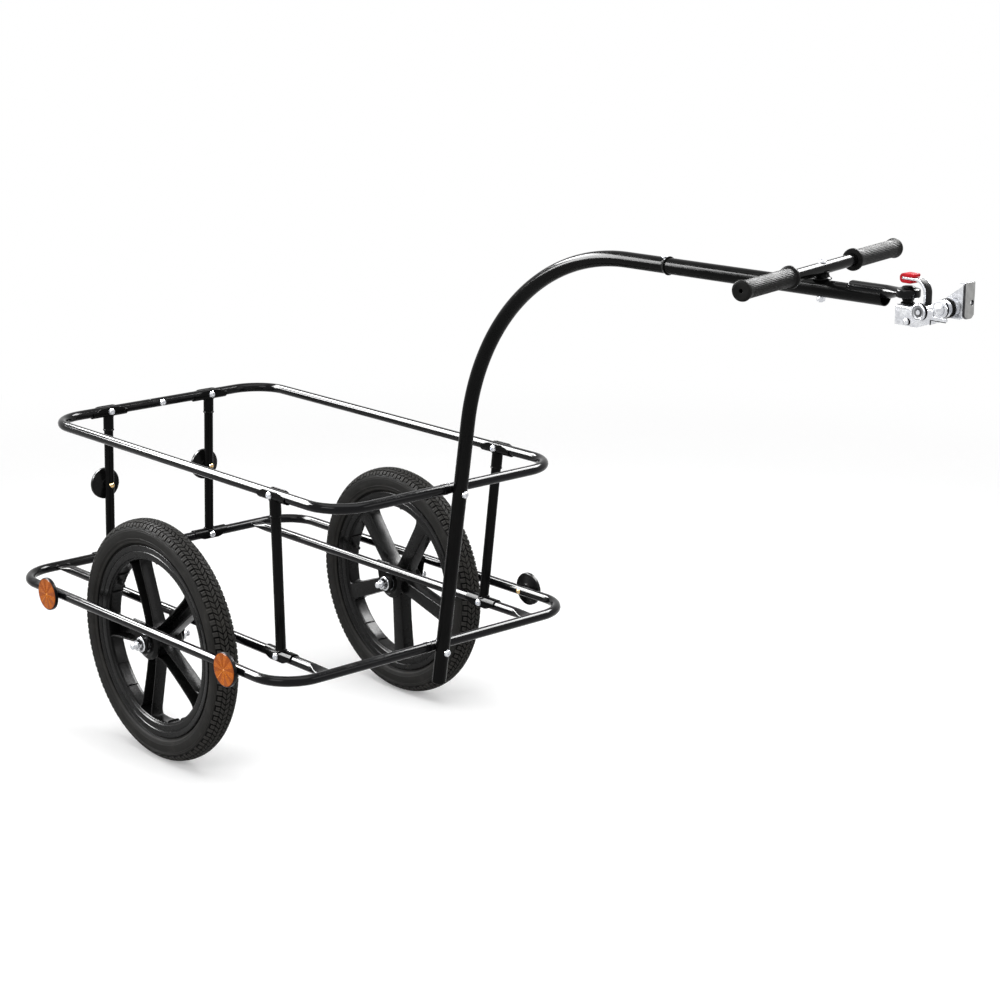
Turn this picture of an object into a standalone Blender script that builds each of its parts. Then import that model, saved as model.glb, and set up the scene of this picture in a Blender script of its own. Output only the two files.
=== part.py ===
"""Two-wheeled bicycle cargo trailer: an open tube frame, moulded wheels, a swan-neck drawbar,
a T-handle and a seat post coupling. Metres, +Z up, +X towards the bicycle, +Y the trailer's left.

The design is laid out from the axle: X = 0 at the axle, Y = 0 in the middle, Z = 0 on the ground.
At the end everything hangs on one empty that brings the middle of the length to X = 0."""

import math

import bmesh
import bpy
from mathutils import Matrix, Vector

# Clearance between pieces that touch, and how far a cutter reaches past what it cuts
seat_gap = 0.0003
cut_margin = 0.010

# A domed head narrows to this share of its radius, a low one to the second share
dome_share = 0.6
low_dome_share = 0.75

# Frame tubes
frame_tube_radius = 0.008
frame_tube_wall = 0.0015
spigot_length = 0.045
spigot_neck = 0.004

# Lower ring, outside the wheels
lower_ring_rear = -0.375
lower_ring_front = 0.391
lower_ring_half_width = 0.295
lower_ring_above_axle = 0.033
lower_ring_corner = 0.065

# Top ring, round the load
top_ring_rear = -0.362
top_ring_front = 0.435
top_ring_half_width = 0.224
top_ring_height = 0.496
top_ring_corner = 0.063

# Where the two halves of a ring meet, on the rear and on the front crossbar
rear_seam = -0.020
front_seam = -0.010
rear_joint_bolt_offset = 0.002

# Inner rails, inside the wheels, with flattened ends
rail_flat_half_width = 0.0125
rail_flat_half_height = 0.0029
rail_flat_length = 0.008
rail_taper_length = 0.036

# Uprights with a pressed saddle at each end
rear_upright_offset = 0.105
front_upright_top = 0.288
front_upright_foot = 0.270
saddle_length = 0.069
saddle_wall = 0.002
saddle_lip = 0.0075
saddle_end_lip = 0.001
saddle_full_length = 0.028

# Frame bolts
bolt_radius = 0.003
bolt_head_radius = 0.0055
bolt_head_height = 0.004
bolt_nut_radius = 0.0052
bolt_nut_height = 0.005
bolt_hole_radius = 0.0037

# Wheels. The tyre's shapes give points of its walls, as a share of the way from the rim to the
# crown and a share of half the width
wheel_radius = 0.200
tyre_width = 0.045
tyre_wall = 0.0035
crown_flat = 0.012
tyre_outer_shape = ((0.25, 0.94), (0.75, 0.90))
tyre_inner_shape = (0.35, 0.96)
rim_flange_radius = 0.1585
rim_seat_radius = 0.1480
rim_inner_radius = 0.1345
rim_width = 0.033
rim_flange_thickness = 0.003
rim_edge_step = 0.003
spoke_count = 5
spoke_phase = {'left': 57.4, 'right': 39.5}
spoke_rim_width = 0.031
spoke_hub_width = 0.025
spoke_web = 0.004
spoke_flange = 0.004
spoke_inner_face = -0.012
spoke_outer_face = 0.011
hub_radius = 0.0285
hub_end_radius = 0.024
hub_length = 0.056
hub_side_room = 0.0047
hub_chamfer = 0.004

# Axles, bearings and the plates that carry them
axle_radius = 0.005
axle_overhang = 0.0143
cone_radius = 0.009
bearing_radius = 0.014
bearing_width = 0.008
bearing_recess = 0.0015
hub_shoulder_radius = 0.009
plate_thickness = 0.003
plate_half_width = 0.022
plate_rise = 0.006
plate_foot_radius = 0.0155
nut_radius = 0.0088
nut_height = 0.008

# Drawbar
drawbar_radius = 0.011
drawbar_wall = 0.0015
drawbar_foot_drop = 0.054
drawbar_bend_radius = 0.343
drawbar_end = 1.252
drawbar_end_height = 0.897
drawbar_rise = math.radians(1.0)
drawbar_joint = 0.886
drawbar_spigot = 0.060

# Spring button that locks the two halves of the drawbar
button_setback = 0.010
button_radius = 0.0037
button_stand = 0.0026
button_collar_radius = 0.0055
button_collar_drop = 0.0066
button_collar_height = 0.0012
button_hole_radius = 0.0040

# T-handle
handle_place = 1.150
handle_stand = 0.0058
handle_yaw = math.radians(12.9)
handle_bar_radius = 0.008
handle_bar_wall = 0.0015
handle_half_length = 0.203
handle_boss_radius = 0.013
handle_boss_gap = 0.0005
handle_screw_radius = 0.003
handle_screw_hole = 0.0036
handle_nut_radius = 0.0055
handle_nut_height = 0.005
grip_length = 0.1215
grip_radius = 0.0115
grip_flange_radius = 0.0145
grip_flange_length = 0.005
grip_flange_slope = 0.002
grip_end_radius = 0.0125
grip_end_length = 0.013
grip_end_slope = 0.007
grip_end_taper = 0.001
grip_end_wall = 0.0035
grip_end_hole = 0.0025

# Tow arm, which lies in a trough in the drawbar's end
arm_radius = 0.0085
arm_start = 1.197
arm_lift = 0.007
arm_taper_length = 0.020
eye_reach = 0.035
eye_radius = 0.015
eye_thickness = 0.011
eye_lift = 0.0025
eye_root_reach = 0.012
eye_root_half_height = 0.0044
eye_root_half_width = 0.01125

# Coupler housing: a channel with a neck, a cross barrel and a spacer rivet. Lengths run forward from
# the eye or the barrel, and heights down from the channel's top
neck_height = 0.0073
housing_web_reach = 0.016
housing_depth = 0.024
housing_rise = 0.007
housing_rise_length = 0.019
housing_half_width = 0.015
housing_wall = 0.003
housing_tongue_reach = 0.012
housing_tongue_drop = 0.012
housing_tongue_height = 0.0045
neck_radius = 0.0075
kingpin_radius = 0.004
kingpin_head_radius = 0.0085
kingpin_head_height = 0.003
kingpin_nut_radius = 0.0075
kingpin_nut_height = 0.006
rivet_reach = 0.010
rivet_drop = 0.019
rivet_radius = 0.003
rivet_head_radius = 0.0048
rivet_head_height = 0.0018

# Cross bolt, barrel and bicycle bracket
barrel_forward = 0.058
barrel_lift = 0.002
barrel_radius = 0.011
barrel_reach = 0.014
cross_bolt_radius = 0.004
cross_bolt_head_radius = 0.0075
cross_bolt_head_height = 0.0042
cross_bolt_nut_height = 0.0055
washer_radius = 0.0120
washer_thickness = 0.0030
bracket_wall = 0.004
bracket_web_face = 0.0013
bracket_eye_radius = 0.012
bracket_eye_start = math.radians(110)
bracket_eye_sweep = math.radians(160)
flange_reach = 0.027
flange_drop = 0.009
flange_height = 0.044
flange_half_width = 0.009
flange_corner = 0.004
flange_lip = 0.005
flange_hole_radius = 0.0032
flange_hole_rise = 0.019

# Coupler lever with its plastic sleeve
lever_pivot_reach = 0.0295
lever_pivot_drop = 0.005
lever_pin_radius = 0.003
lever_pin_head_radius = 0.0104
lever_pin_head_height = 0.003
lever_eye_radius = 0.007
lever_width = 0.014
lever_thickness = 0.003
lever_rise = 0.0365
lever_reach = 0.038
lever_bend_radius = 0.016
sleeve_length = 0.0205
sleeve_wall = 0.0035
sleeve_width = 0.015

# Reflectors
reflector_radius = 0.0275
reflector_back_radius = 0.009
reflector_depth = 0.011
reflector_dish = 0.0038
reflector_chamfer = 0.0015
side_reflector_places = {'rear': -0.244, 'front': 0.268}
rear_reflector_height = 0.362

# Facets
tube_sides = 10
corner_steps = 4
bend_steps = 8
wheel_sides = 28
hub_sides = 12
small_sides = 10
bolt_sides = 6
axle_sides = 8
reflector_sides = 12
plate_foot_steps = 8
bracket_eye_steps = 6
lever_bend_steps = 5
sleeve_end_steps = 4

# Faces that meet at more than this many degrees keep a sharp edge between them
sharp_edge_angle = 40

# A direction within this many degrees of Y takes X as its helper axis
helper_angle = 26

# Share of a facet that holes are turned by, so that no corner of theirs lies on a tube's edge
hole_turn = 0.25

sides_of_trailer = {'left': 1, 'right': -1}

axis_x = Vector((1, 0, 0))
axis_y = Vector((0, 1, 0))
axis_z = Vector((0, 0, 1))

# Colour, roughness and metallic value of each finish
finishes = {
    'gloss_black_paint': ((0.018, 0.018, 0.020), 0.22, 0.0),
    'satin_black_paint': ((0.030, 0.030, 0.031), 0.38, 0.0),
    'tyre_rubber': ((0.035, 0.035, 0.036), 0.85, 0.0),
    'moulded_nylon': ((0.028, 0.028, 0.030), 0.45, 0.0),
    'zinc_plate': ((0.72, 0.73, 0.75), 0.30, 1.0),
    'bearing_steel': ((0.55, 0.56, 0.58), 0.25, 1.0),
    'grip_rubber': ((0.050, 0.050, 0.051), 0.80, 0.0),
    'red_plastic': ((0.72, 0.030, 0.045), 0.35, 0.0),
    'amber_plastic': ((0.95, 0.42, 0.06), 0.18, 0.0),
    'red_lens': ((0.60, 0.02, 0.02), 0.18, 0.0),
    'bracket_steel': ((0.62, 0.63, 0.65), 0.35, 1.0),
    'washer_rubber': ((0.020, 0.020, 0.020), 0.70, 0.0),
}

saddle_reach = frame_tube_radius + seat_gap + saddle_wall
plate_inset = frame_tube_radius + seat_gap
plate_stand = plate_inset + plate_thickness + hub_side_room
rail_half_spacing = lower_ring_half_width - hub_length - 2 * plate_stand
outer_plate_face = lower_ring_half_width - plate_inset - plate_thickness
inner_plate_face = rail_half_spacing + plate_inset + plate_thickness
wheel_offset = (outer_plate_face + inner_plate_face) / 2
plate_gap = outer_plate_face - inner_plate_face
axle_centre = Vector((0, 0, wheel_radius))
lower_ring_height = wheel_radius + lower_ring_above_axle
drawbar_slope = math.tan(drawbar_rise)
handle_drawbar_height = drawbar_end_height + (handle_place - drawbar_end) * drawbar_slope
handle_height = handle_drawbar_height + drawbar_radius + handle_stand + handle_bar_radius
eye_place = drawbar_end + eye_reach
eye_height = drawbar_end_height + eye_reach * drawbar_slope + arm_lift + eye_lift
housing_top = eye_height - eye_thickness / 2 - seat_gap - neck_height
housing_bottom = housing_top - housing_depth
housing_tongue_bottom = housing_top - housing_tongue_drop
housing_rear = eye_place - neck_radius
housing_web_front = eye_place + housing_web_reach
rivet_place = eye_place + rivet_reach
rivet_height = housing_top - rivet_drop
lever_pivot_place = eye_place + lever_pivot_reach
lever_pivot_height = housing_top - lever_pivot_drop
barrel_place = eye_place + barrel_forward
barrel_height = housing_top + barrel_lift
housing_cheek_front = barrel_place - barrel_radius
housing_tongue = barrel_place + housing_tongue_reach
flange_place = barrel_place + flange_reach
flange_bottom = barrel_height - flange_drop
flange_top = flange_bottom + flange_height
flange_hole_height = flange_bottom + flange_hole_rise


def clear_scene():
    for thing in list(bpy.data.objects):
        bpy.data.objects.remove(thing)


def finish(name):
    """The Principled material of one finish, made on first use."""
    made = bpy.data.materials.get(name)
    if made:
        return made
    colour, roughness, metallic = finishes[name]
    made = bpy.data.materials.new(name)
    made.use_nodes = True
    shader = made.node_tree.nodes['Principled BSDF']
    shader.inputs['Base Color'].default_value = (*colour, 1.0)
    shader.inputs['Roughness'].default_value = roughness
    shader.inputs['Metallic'].default_value = metallic
    made.diffuse_color = (*colour, 1.0)
    return made


def as_object(shape):
    """A loose object from a bmesh, with its faces pointing out."""
    bmesh.ops.recalc_face_normals(shape, faces=shape.faces)
    mesh = bpy.data.meshes.new('shape')
    shape.to_mesh(mesh)
    shape.free()
    thing = bpy.data.objects.new('shape', mesh)
    bpy.context.scene.collection.objects.link(thing)
    return thing


def loft(rings, closed=False):
    """A skin through rings of points; the ends are capped unless the last ring joins the first."""
    shape = bmesh.new()
    rows = [[shape.verts.new(point) for point in ring] for ring in rings]
    pairs = list(zip(rows, rows[1:]))
    if closed:
        pairs.append((rows[-1], rows[0]))
    for row, following in pairs:
        for index, corner in enumerate(row):
            after = (index + 1) % len(row)
            shape.faces.new((corner, row[after], following[after], following[index]))
    if not closed:
        shape.faces.new(rows[0])
        shape.faces.new(rows[-1])
    return as_object(shape)


def circle(centre, direction, radius, sides, turn=0.0):
    """Points round an axis, turned by a share of the step between two of them."""
    near_y = abs(direction.y) > math.cos(math.radians(helper_angle))
    helper = axis_x if near_y else axis_y
    across = (helper - helper.dot(direction) * direction).normalized()
    around = direction.cross(across)
    points = []
    for step in range(sides):
        angle = 2 * math.pi * (step + turn) / sides
        points.append(centre + radius * (math.cos(angle) * across + math.sin(angle) * around))
    return points


def turned(profile, origin, direction, sides, closed=False, turn=0.0):
    """A solid of revolution from (radius, height) pairs; a closed profile makes a ring."""
    axis = Vector(direction).normalized()
    rings = [circle(Vector(origin) + height * axis, axis, radius, sides, turn) for radius, height in profile]
    return loft(rings, closed)


def swept_rings(stations, plane_normal, sides):
    """Round or oval rings along a flat centre line: (point, direction, radius, normal radius)."""
    rings = []
    for point, direction, radius, normal_radius in stations:
        across = plane_normal.cross(direction).normalized()
        ring = []
        for step in range(sides):
            angle = 2 * math.pi * step / sides
            ring.append(point + radius * math.cos(angle) * across
                        + normal_radius * math.sin(angle) * plane_normal)
        rings.append(ring)
    return rings


def hollow_tube(outside, inside, plane_normal, sides=tube_sides):
    """A tube open at both ends, from the stations of its outer and its inner wall."""
    outer_rings = swept_rings(outside, plane_normal, sides)
    inner_rings = swept_rings(inside, plane_normal, sides)
    return loft(outer_rings + inner_rings[::-1], closed=True)


def extruded(outline, depth):
    """A plate: an outline of points carried along a vector."""
    return loft([outline, [point + depth for point in outline]])


def combine(target, tool, operation):
    """A Boolean of two objects, applied; the tool is removed."""
    step = target.modifiers.new('combine', 'BOOLEAN')
    step.operation = operation
    step.solver = 'EXACT'
    step.object = tool
    scene_state = bpy.context.evaluated_depsgraph_get()
    result = bpy.data.meshes.new_from_object(target.evaluated_get(scene_state))
    target.modifiers.clear()
    target.data = result
    bpy.data.objects.remove(tool)
    return target


def join(target, tool):
    return combine(target, tool, 'UNION')


def cut(target, tool):
    return combine(target, tool, 'DIFFERENCE')


def drill(target, centre, direction, reach, radius, sides=bolt_sides):
    """A hole through the target, reaching equally far on both sides of its centre."""
    return cut(target, turned([(radius, -reach), (radius, reach)], centre, direction, sides, turn=hole_turn))


def place(thing, name, finish_name, pivot=None):
    """Names, paints and shades a piece, with its origin on its pivot, and hangs it on the layout."""
    mesh = thing.data
    if pivot is not None:
        mesh.transform(Matrix.Translation(-Vector(pivot)))
        thing.location = pivot
    mesh.materials.clear()
    mesh.materials.append(finish(finish_name))
    mesh.shade_smooth()
    mesh.set_sharp_from_angle(angle=math.radians(sharp_edge_angle))
    mesh.name = name
    thing.name = name
    thing.parent = bpy.data.objects['trailer_layout']
    return thing


def add_layout_empty():
    """The empty that everything hangs on; it moves the middle of the length to X = 0."""
    reflector_reach = rear_reflector_centre(1).x - frame_tube_radius - seat_gap - reflector_depth
    bolt_reach = lower_ring_rear - saddle_reach - seat_gap - bolt_nut_height
    rear_reach = min(reflector_reach, bolt_reach)
    front_reach = flange_place + bracket_wall
    layout = bpy.data.objects.new('trailer_layout', None)
    layout.location = (-(rear_reach + front_reach) / 2, 0, 0)
    bpy.context.scene.collection.objects.link(layout)


# Frame rings

def ring_corners(rear, front, half_width, corner, height, side):
    """The bent stretch of a ring half, as stations round its two corners from rear to front."""
    stations = []
    for along, first_turn in ((rear + corner, 0), (front - corner, 90)):
        centre = Vector((along, side * (half_width - corner), height))
        for step in range(corner_steps + 1):
            turn = math.radians(first_turn + 90 * step / corner_steps)
            outward = Vector((-math.cos(turn), side * math.sin(turn), 0))
            forward = Vector((math.sin(turn), side * math.cos(turn), 0))
            stations.append((centre + corner * outward, forward))
    return stations


def with_radius(stations, radius):
    return [(point, direction, radius, radius) for point, direction in stations]


def ring_half(rear, front, half_width, corner, height, side_name):
    """A ring half; the right one has a swaged spigot at each end, which fits inside the left one."""
    side = sides_of_trailer[side_name]
    inward = Vector((0, -side, 0))
    corners = ring_corners(rear, front, half_width, corner, height, side)
    bore = frame_tube_radius - frame_tube_wall
    if side_name == 'left':
        mouths = [Vector((rear, rear_seam + seat_gap, height)),
                  Vector((front, front_seam + seat_gap, height))]
        route = [(mouths[0], -inward)] + corners + [(mouths[1], inward)]
        return hollow_tube(with_radius(route, frame_tube_radius), with_radius(route, bore), axis_z)
    spigot = bore - seat_gap
    shoulders = [Vector((rear, rear_seam, height)), Vector((front, front_seam, height))]
    tips = [shoulder + spigot_length * inward for shoulder in shoulders]
    outside = with_radius([(tips[0], -inward), (shoulders[0], -inward)], spigot)
    outside += with_radius([(shoulders[0], -inward)] + corners + [(shoulders[1], inward)], frame_tube_radius)
    outside += with_radius([(shoulders[1], inward), (tips[1], inward)], spigot)
    spigot_bore = spigot - frame_tube_wall
    necks = [shoulder - spigot_neck * inward for shoulder in shoulders]
    inside = with_radius([(tips[0], -inward), (necks[0], -inward)], spigot_bore)
    inside += with_radius([(necks[0], -inward)] + corners + [(necks[1], inward)], bore)
    inside += with_radius([(necks[1], inward), (tips[1], inward)], spigot_bore)
    return hollow_tube(outside, inside, axis_z)


def add_rings():
    """Top and lower ring, each in two halves, drilled for the bolts that hold them."""
    reach = 2 * frame_tube_radius
    lean, across = drawbar_directions()
    for side_name, side in sides_of_trailer.items():
        top = ring_half(top_ring_rear, top_ring_front, top_ring_half_width, top_ring_corner,
                        top_ring_height, side_name)
        drill(top, (top_ring_rear, rear_joint_bolt_offset, top_ring_height), axis_x, reach, bolt_hole_radius)
        drill(top, (top_ring_front, 0, top_ring_height), across, reach, bolt_hole_radius)
        drill(top, rear_upright_points(side)[1], axis_x, reach, bolt_hole_radius)
        drill(top, front_upright_points(side)[1], axis_y, reach, bolt_hole_radius)
        place(top, 'top_ring_' + side_name, 'gloss_black_paint')
        lower = ring_half(lower_ring_rear, lower_ring_front, lower_ring_half_width, lower_ring_corner,
                          lower_ring_height, side_name)
        drill(lower, (lower_ring_rear, rear_joint_bolt_offset, lower_ring_height), axis_x, reach,
              bolt_hole_radius)
        drill(lower, (lower_ring_front, 0, lower_ring_height), across, reach, bolt_hole_radius)
        drill(lower, rear_upright_points(side)[0], axis_x, reach, bolt_hole_radius)
        place(lower, 'lower_ring_' + side_name, 'gloss_black_paint')


def add_rails():
    """Inner rails: their ends are pressed flat and butt against the lower ring's crossbars."""
    rear_end = lower_ring_rear + frame_tube_radius + seat_gap
    front_end = lower_ring_front - frame_tube_radius - seat_gap
    flat = (rail_flat_half_width, rail_flat_half_height)
    full = (frame_tube_radius, frame_tube_radius)
    steps = [(rear_end, flat), (rear_end + rail_flat_length, flat), (rear_end + rail_taper_length, full),
             (front_end - rail_taper_length, full), (front_end - rail_flat_length, flat), (front_end, flat)]
    for side_name, side in sides_of_trailer.items():
        outside = []
        inside = []
        for along, (wide, high) in steps:
            point = Vector((along, side * rail_half_spacing, lower_ring_height))
            outside.append((point, axis_x, wide, high))
            inside.append((point, axis_x, wide - frame_tube_wall, high - frame_tube_wall))
        rail = hollow_tube(outside, inside, axis_z)
        drill(rail, front_upright_points(side)[0], axis_y, 2 * frame_tube_radius, bolt_hole_radius)
        place(rail, 'inner_rail_' + side_name, 'gloss_black_paint')


# Uprights

def rear_upright_points(side):
    """Foot and top of a rear upright's axis, each on the axis of the crossbar that it clamps."""
    return (Vector((lower_ring_rear, side * rear_upright_offset, lower_ring_height)),
            Vector((top_ring_rear, side * rear_upright_offset, top_ring_height)))


def front_upright_points(side):
    """Foot on the inner rail's axis and top on the top ring's side."""
    return (Vector((front_upright_foot, side * rail_half_spacing, lower_ring_height)),
            Vector((front_upright_top, side * top_ring_half_width, top_ring_height)))


def saddle(centre, along, crown):
    """A pressed U over a tube: half round on the crown's side, with cheeks that reach past the tube."""
    sideways = along.cross(crown)
    inner = frame_tube_radius + seat_gap
    outer = inner + saddle_wall
    half_turn = tube_sides // 2
    rings = []
    ends = ((-saddle_length / 2, saddle_end_lip), (-saddle_full_length / 2, saddle_lip),
            (saddle_full_length / 2, saddle_lip), (saddle_length / 2, saddle_end_lip))
    for shift, lip in ends:
        middle = centre + shift * along
        ring = [middle + outer * sideways - lip * crown]
        for step in range(half_turn + 1):
            angle = math.pi * step / half_turn
            ring.append(middle + outer * (math.cos(angle) * sideways + math.sin(angle) * crown))
        ring.append(middle - outer * sideways - lip * crown)
        ring.append(middle - inner * sideways - lip * crown)
        for step in range(half_turn + 1):
            angle = math.pi * (1 - step / half_turn)
            ring.append(middle + inner * (math.cos(angle) * sideways + math.sin(angle) * crown))
        ring.append(middle + inner * sideways - lip * crown)
        rings.append(ring)
    return loft(rings)


def upright(points, along):
    """One weldment: a tube coped onto a saddle at each end, with its bore open through both crowns."""
    foot, top = points
    run = (top - foot).normalized()
    length = (top - foot).length
    body = turned([(frame_tube_radius, 0), (frame_tube_radius, length)], foot, run, tube_sides)
    cope_radius = frame_tube_radius + seat_gap + saddle_wall / 2
    for end in points:
        drill(body, end, along, saddle_length, cope_radius, tube_sides)
    join(body, saddle(foot, along, axis_z))
    join(body, saddle(top, along, -axis_z))
    bore = frame_tube_radius - frame_tube_wall
    cut(body, turned([(bore, 0), (bore, length)], foot, run, tube_sides))
    bolt_line = along.cross(axis_z)
    for end in points:
        drill(body, end, bolt_line, 2 * frame_tube_radius, bolt_hole_radius)
    return body


def add_uprights():
    for side_name, side in sides_of_trailer.items():
        place(upright(rear_upright_points(side), axis_y), 'upright_rear_' + side_name, 'satin_black_paint')
        place(upright(front_upright_points(side), axis_x), 'upright_front_' + side_name, 'satin_black_paint')


# Frame bolts

def bolt(start, direction, grip):
    """A round-headed bolt with its nut; start is the head's seat and grip is what it clamps."""
    profile = [(bolt_head_radius * dome_share, -bolt_head_height), (bolt_head_radius, -bolt_head_height / 2),
               (bolt_head_radius, 0), (bolt_radius, 0), (bolt_radius, grip),
               (bolt_nut_radius, grip), (bolt_nut_radius, grip + bolt_nut_height)]
    return turned(profile, start, direction, bolt_sides)


def through_bolt(centre, direction, half_grip):
    """A bolt whose grip is the same on both sides of a tube's centre."""
    axis = Vector(direction).normalized()
    return bolt(Vector(centre) - (half_grip + seat_gap) * axis, axis, 2 * (half_grip + seat_gap))


def add_frame_bolts():
    for side_name, side in sides_of_trailer.items():
        ends = (('rear', rear_upright_points(side), -axis_x), ('front', front_upright_points(side), axis_y))
        for end_name, points, direction in ends:
            for level, point in zip(('foot', 'top'), points):
                name = 'bolt_' + end_name + '_' + level + '_' + side_name
                place(through_bolt(point, direction, saddle_reach), name, 'zinc_plate')
    for level, along, height in (('top', top_ring_rear, top_ring_height),
                                 ('lower', lower_ring_rear, lower_ring_height)):
        centre = (along, rear_joint_bolt_offset, height)
        joint_bolt = through_bolt(centre, -axis_x, frame_tube_radius)
        place(joint_bolt, level + '_ring_joint_bolt', 'zinc_plate')


# Reflectors

def reflector(seat, outward):
    """A round reflector: a small boss on the tube, a dished back and a bevelled lens."""
    profile = [(reflector_back_radius, 0), (reflector_radius, reflector_dish),
               (reflector_radius, reflector_depth - reflector_chamfer),
               (reflector_radius - reflector_chamfer, reflector_depth)]
    return turned(profile, seat, outward, reflector_sides)


def rear_reflector_centre(side):
    """The point on a rear upright's axis at the reflector's height."""
    foot, top = rear_upright_points(side)
    return foot.lerp(top, (rear_reflector_height - foot.z) / (top.z - foot.z))


def add_reflectors():
    stand_off = frame_tube_radius + seat_gap
    for side_name, side in sides_of_trailer.items():
        outward = side * axis_y
        for end_name, along in side_reflector_places.items():
            tube = Vector((along, side * lower_ring_half_width, lower_ring_height))
            side_one = reflector(tube + stand_off * outward, outward)
            place(side_one, 'side_reflector_' + end_name + '_' + side_name, 'amber_plastic')
        rear_one = reflector(rear_reflector_centre(side) - stand_off * axis_x, -axis_x)
        place(rear_one, 'rear_reflector_' + side_name, 'red_lens')


# Wheels

def wheel_centre(side):
    return axle_centre + side * wheel_offset * axis_y


def mirrored_profile(half):
    """A profile from its half: the given points, then the same points with the height reversed."""
    return half + [(radius, -height) for radius, height in half[::-1]]


def tyre(side):
    """A hollow tyre, open between its two beads."""
    half_width = tyre_width / 2
    bead = rim_width / 2 - rim_flange_thickness - 2 * seat_gap
    bead_radius = rim_seat_radius + 2 * seat_gap
    flange_clear = rim_flange_radius + 2 * seat_gap
    section = wheel_radius - flange_clear
    outside = [(bead_radius, bead), (flange_clear, bead)]
    outside += [(flange_clear + rise * section, share * half_width) for rise, share in tyre_outer_shape]
    outside.append((wheel_radius, crown_flat / 2))
    rise, share = tyre_inner_shape
    inside = [(bead_radius, bead - tyre_wall),
              (flange_clear + rise * section, share * half_width - tyre_wall),
              (wheel_radius - 2 * tyre_wall, half_width / 2)]
    profile = mirrored_profile(outside) + mirrored_profile(inside)[::-1]
    return turned(profile, wheel_centre(side), side * axis_y, wheel_sides, closed=True)


def rim(side):
    """The rim: a bead seat between two flanges, and a bevelled edge round its inner face."""
    edge = rim_width / 2
    seat_edge = edge - rim_flange_thickness
    half = [(rim_inner_radius, edge - rim_edge_step), (rim_flange_radius, edge),
            (rim_flange_radius, seat_edge), (rim_seat_radius, seat_edge)]
    return turned(mirrored_profile(half), wheel_centre(side), side * axis_y, wheel_sides, closed=True)


def hub(side):
    """The hub: a barrel with bevelled ends and a stepped bore for its bearings."""
    end = hub_length / 2
    seat_radius = bearing_radius + seat_gap
    seat_depth = bearing_width + bearing_recess + seat_gap
    half = [(seat_radius, end - seat_depth), (seat_radius, end), (hub_end_radius, end),
            (hub_radius, end - hub_chamfer)]
    profile = [(hub_shoulder_radius, end - seat_depth)] + half
    profile += [(radius, -height) for radius, height in profile[::-1]]
    return turned(profile, wheel_centre(side), side * axis_y, hub_sides, closed=True)


def spoke(side, angle):
    """A broad spoke of U section, open towards the trailer's outside, wider at the rim."""
    radial = Vector((math.cos(angle), 0, math.sin(angle)))
    tangent = Vector((-math.sin(angle), 0, math.cos(angle)))
    outward = side * axis_y
    root = (hub_radius + bearing_radius) / 2
    tip = (rim_inner_radius + rim_seat_radius) / 2 - rim_edge_step
    rings = []
    for reach, width in ((root, spoke_hub_width), (tip, spoke_rim_width)):
        half = width / 2
        floor = spoke_inner_face + spoke_web
        section = [(-half, spoke_inner_face), (half, spoke_inner_face), (half, spoke_outer_face),
                   (half - spoke_flange, spoke_outer_face), (half - spoke_flange, floor),
                   (spoke_flange - half, floor), (spoke_flange - half, spoke_outer_face),
                   (-half, spoke_outer_face)]
        middle = wheel_centre(side) + reach * radial
        rings.append([middle + across * tangent + out * outward for across, out in section])
    return loft(rings)


def wheel(side_name):
    """A one-piece moulded wheel: rim, hub and five spokes."""
    side = sides_of_trailer[side_name]
    body = join(rim(side), hub(side))
    for index in range(spoke_count):
        angle = math.radians(spoke_phase[side_name] + 360 * index / spoke_count)
        join(body, spoke(side, angle))
    return body


def bearing(side, end):
    """A bearing ring in the hub's end; end is 1 at the trailer's outside and -1 at its inside."""
    outer_face = hub_length / 2 - bearing_recess
    inner_radius = axle_radius + seat_gap
    profile = [(inner_radius, outer_face - bearing_width), (inner_radius, outer_face),
               (bearing_radius, outer_face), (bearing_radius, outer_face - bearing_width)]
    return turned(profile, wheel_centre(side), end * side * axis_y, hub_sides, closed=True)


def axle(side):
    """An axle with its two cones, which stand between the bearings and the plates."""
    end = plate_gap / 2 + plate_thickness + axle_overhang
    cone_inner = hub_length / 2 - bearing_recess + seat_gap
    cone_outer = plate_gap / 2 - seat_gap
    profile = [(axle_radius, -end), (axle_radius, -cone_outer), (cone_radius, -cone_outer),
               (cone_radius, -cone_inner), (axle_radius, -cone_inner), (axle_radius, cone_inner),
               (cone_radius, cone_inner), (cone_radius, cone_outer), (axle_radius, cone_outer),
               (axle_radius, end)]
    return turned(profile, wheel_centre(side), side * axis_y, axle_sides)


def axle_nut(side, end):
    """A hexagonal axle nut against the far face of its plate."""
    start = plate_gap / 2 + plate_thickness + seat_gap
    hole = (axle_radius + seat_gap) / math.cos(math.pi / 6)
    end_face = start + nut_height
    profile = [(hole, start), (nut_radius, start), (nut_radius, end_face), (hole, end_face)]
    return turned(profile, wheel_centre(side), end * side * axis_y, 6, closed=True)


def axle_plate(inner_face, outward):
    """A plate welded to a tube's side, with a round foot and a hole for the axle."""
    start = inner_face * outward
    top = lower_ring_height + plate_rise
    outline = [start + Vector((-plate_half_width, 0, top)), start + Vector((plate_half_width, 0, top))]
    for step in range(plate_foot_steps + 1):
        angle = -math.pi * step / plate_foot_steps
        outline.append(start + axle_centre
                       + plate_foot_radius * Vector((math.cos(angle), 0, math.sin(angle))))
    plate = extruded(outline, plate_thickness * outward)
    return drill(plate, start + axle_centre, axis_y, 2 * plate_thickness, axle_radius + seat_gap, small_sides)


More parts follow.
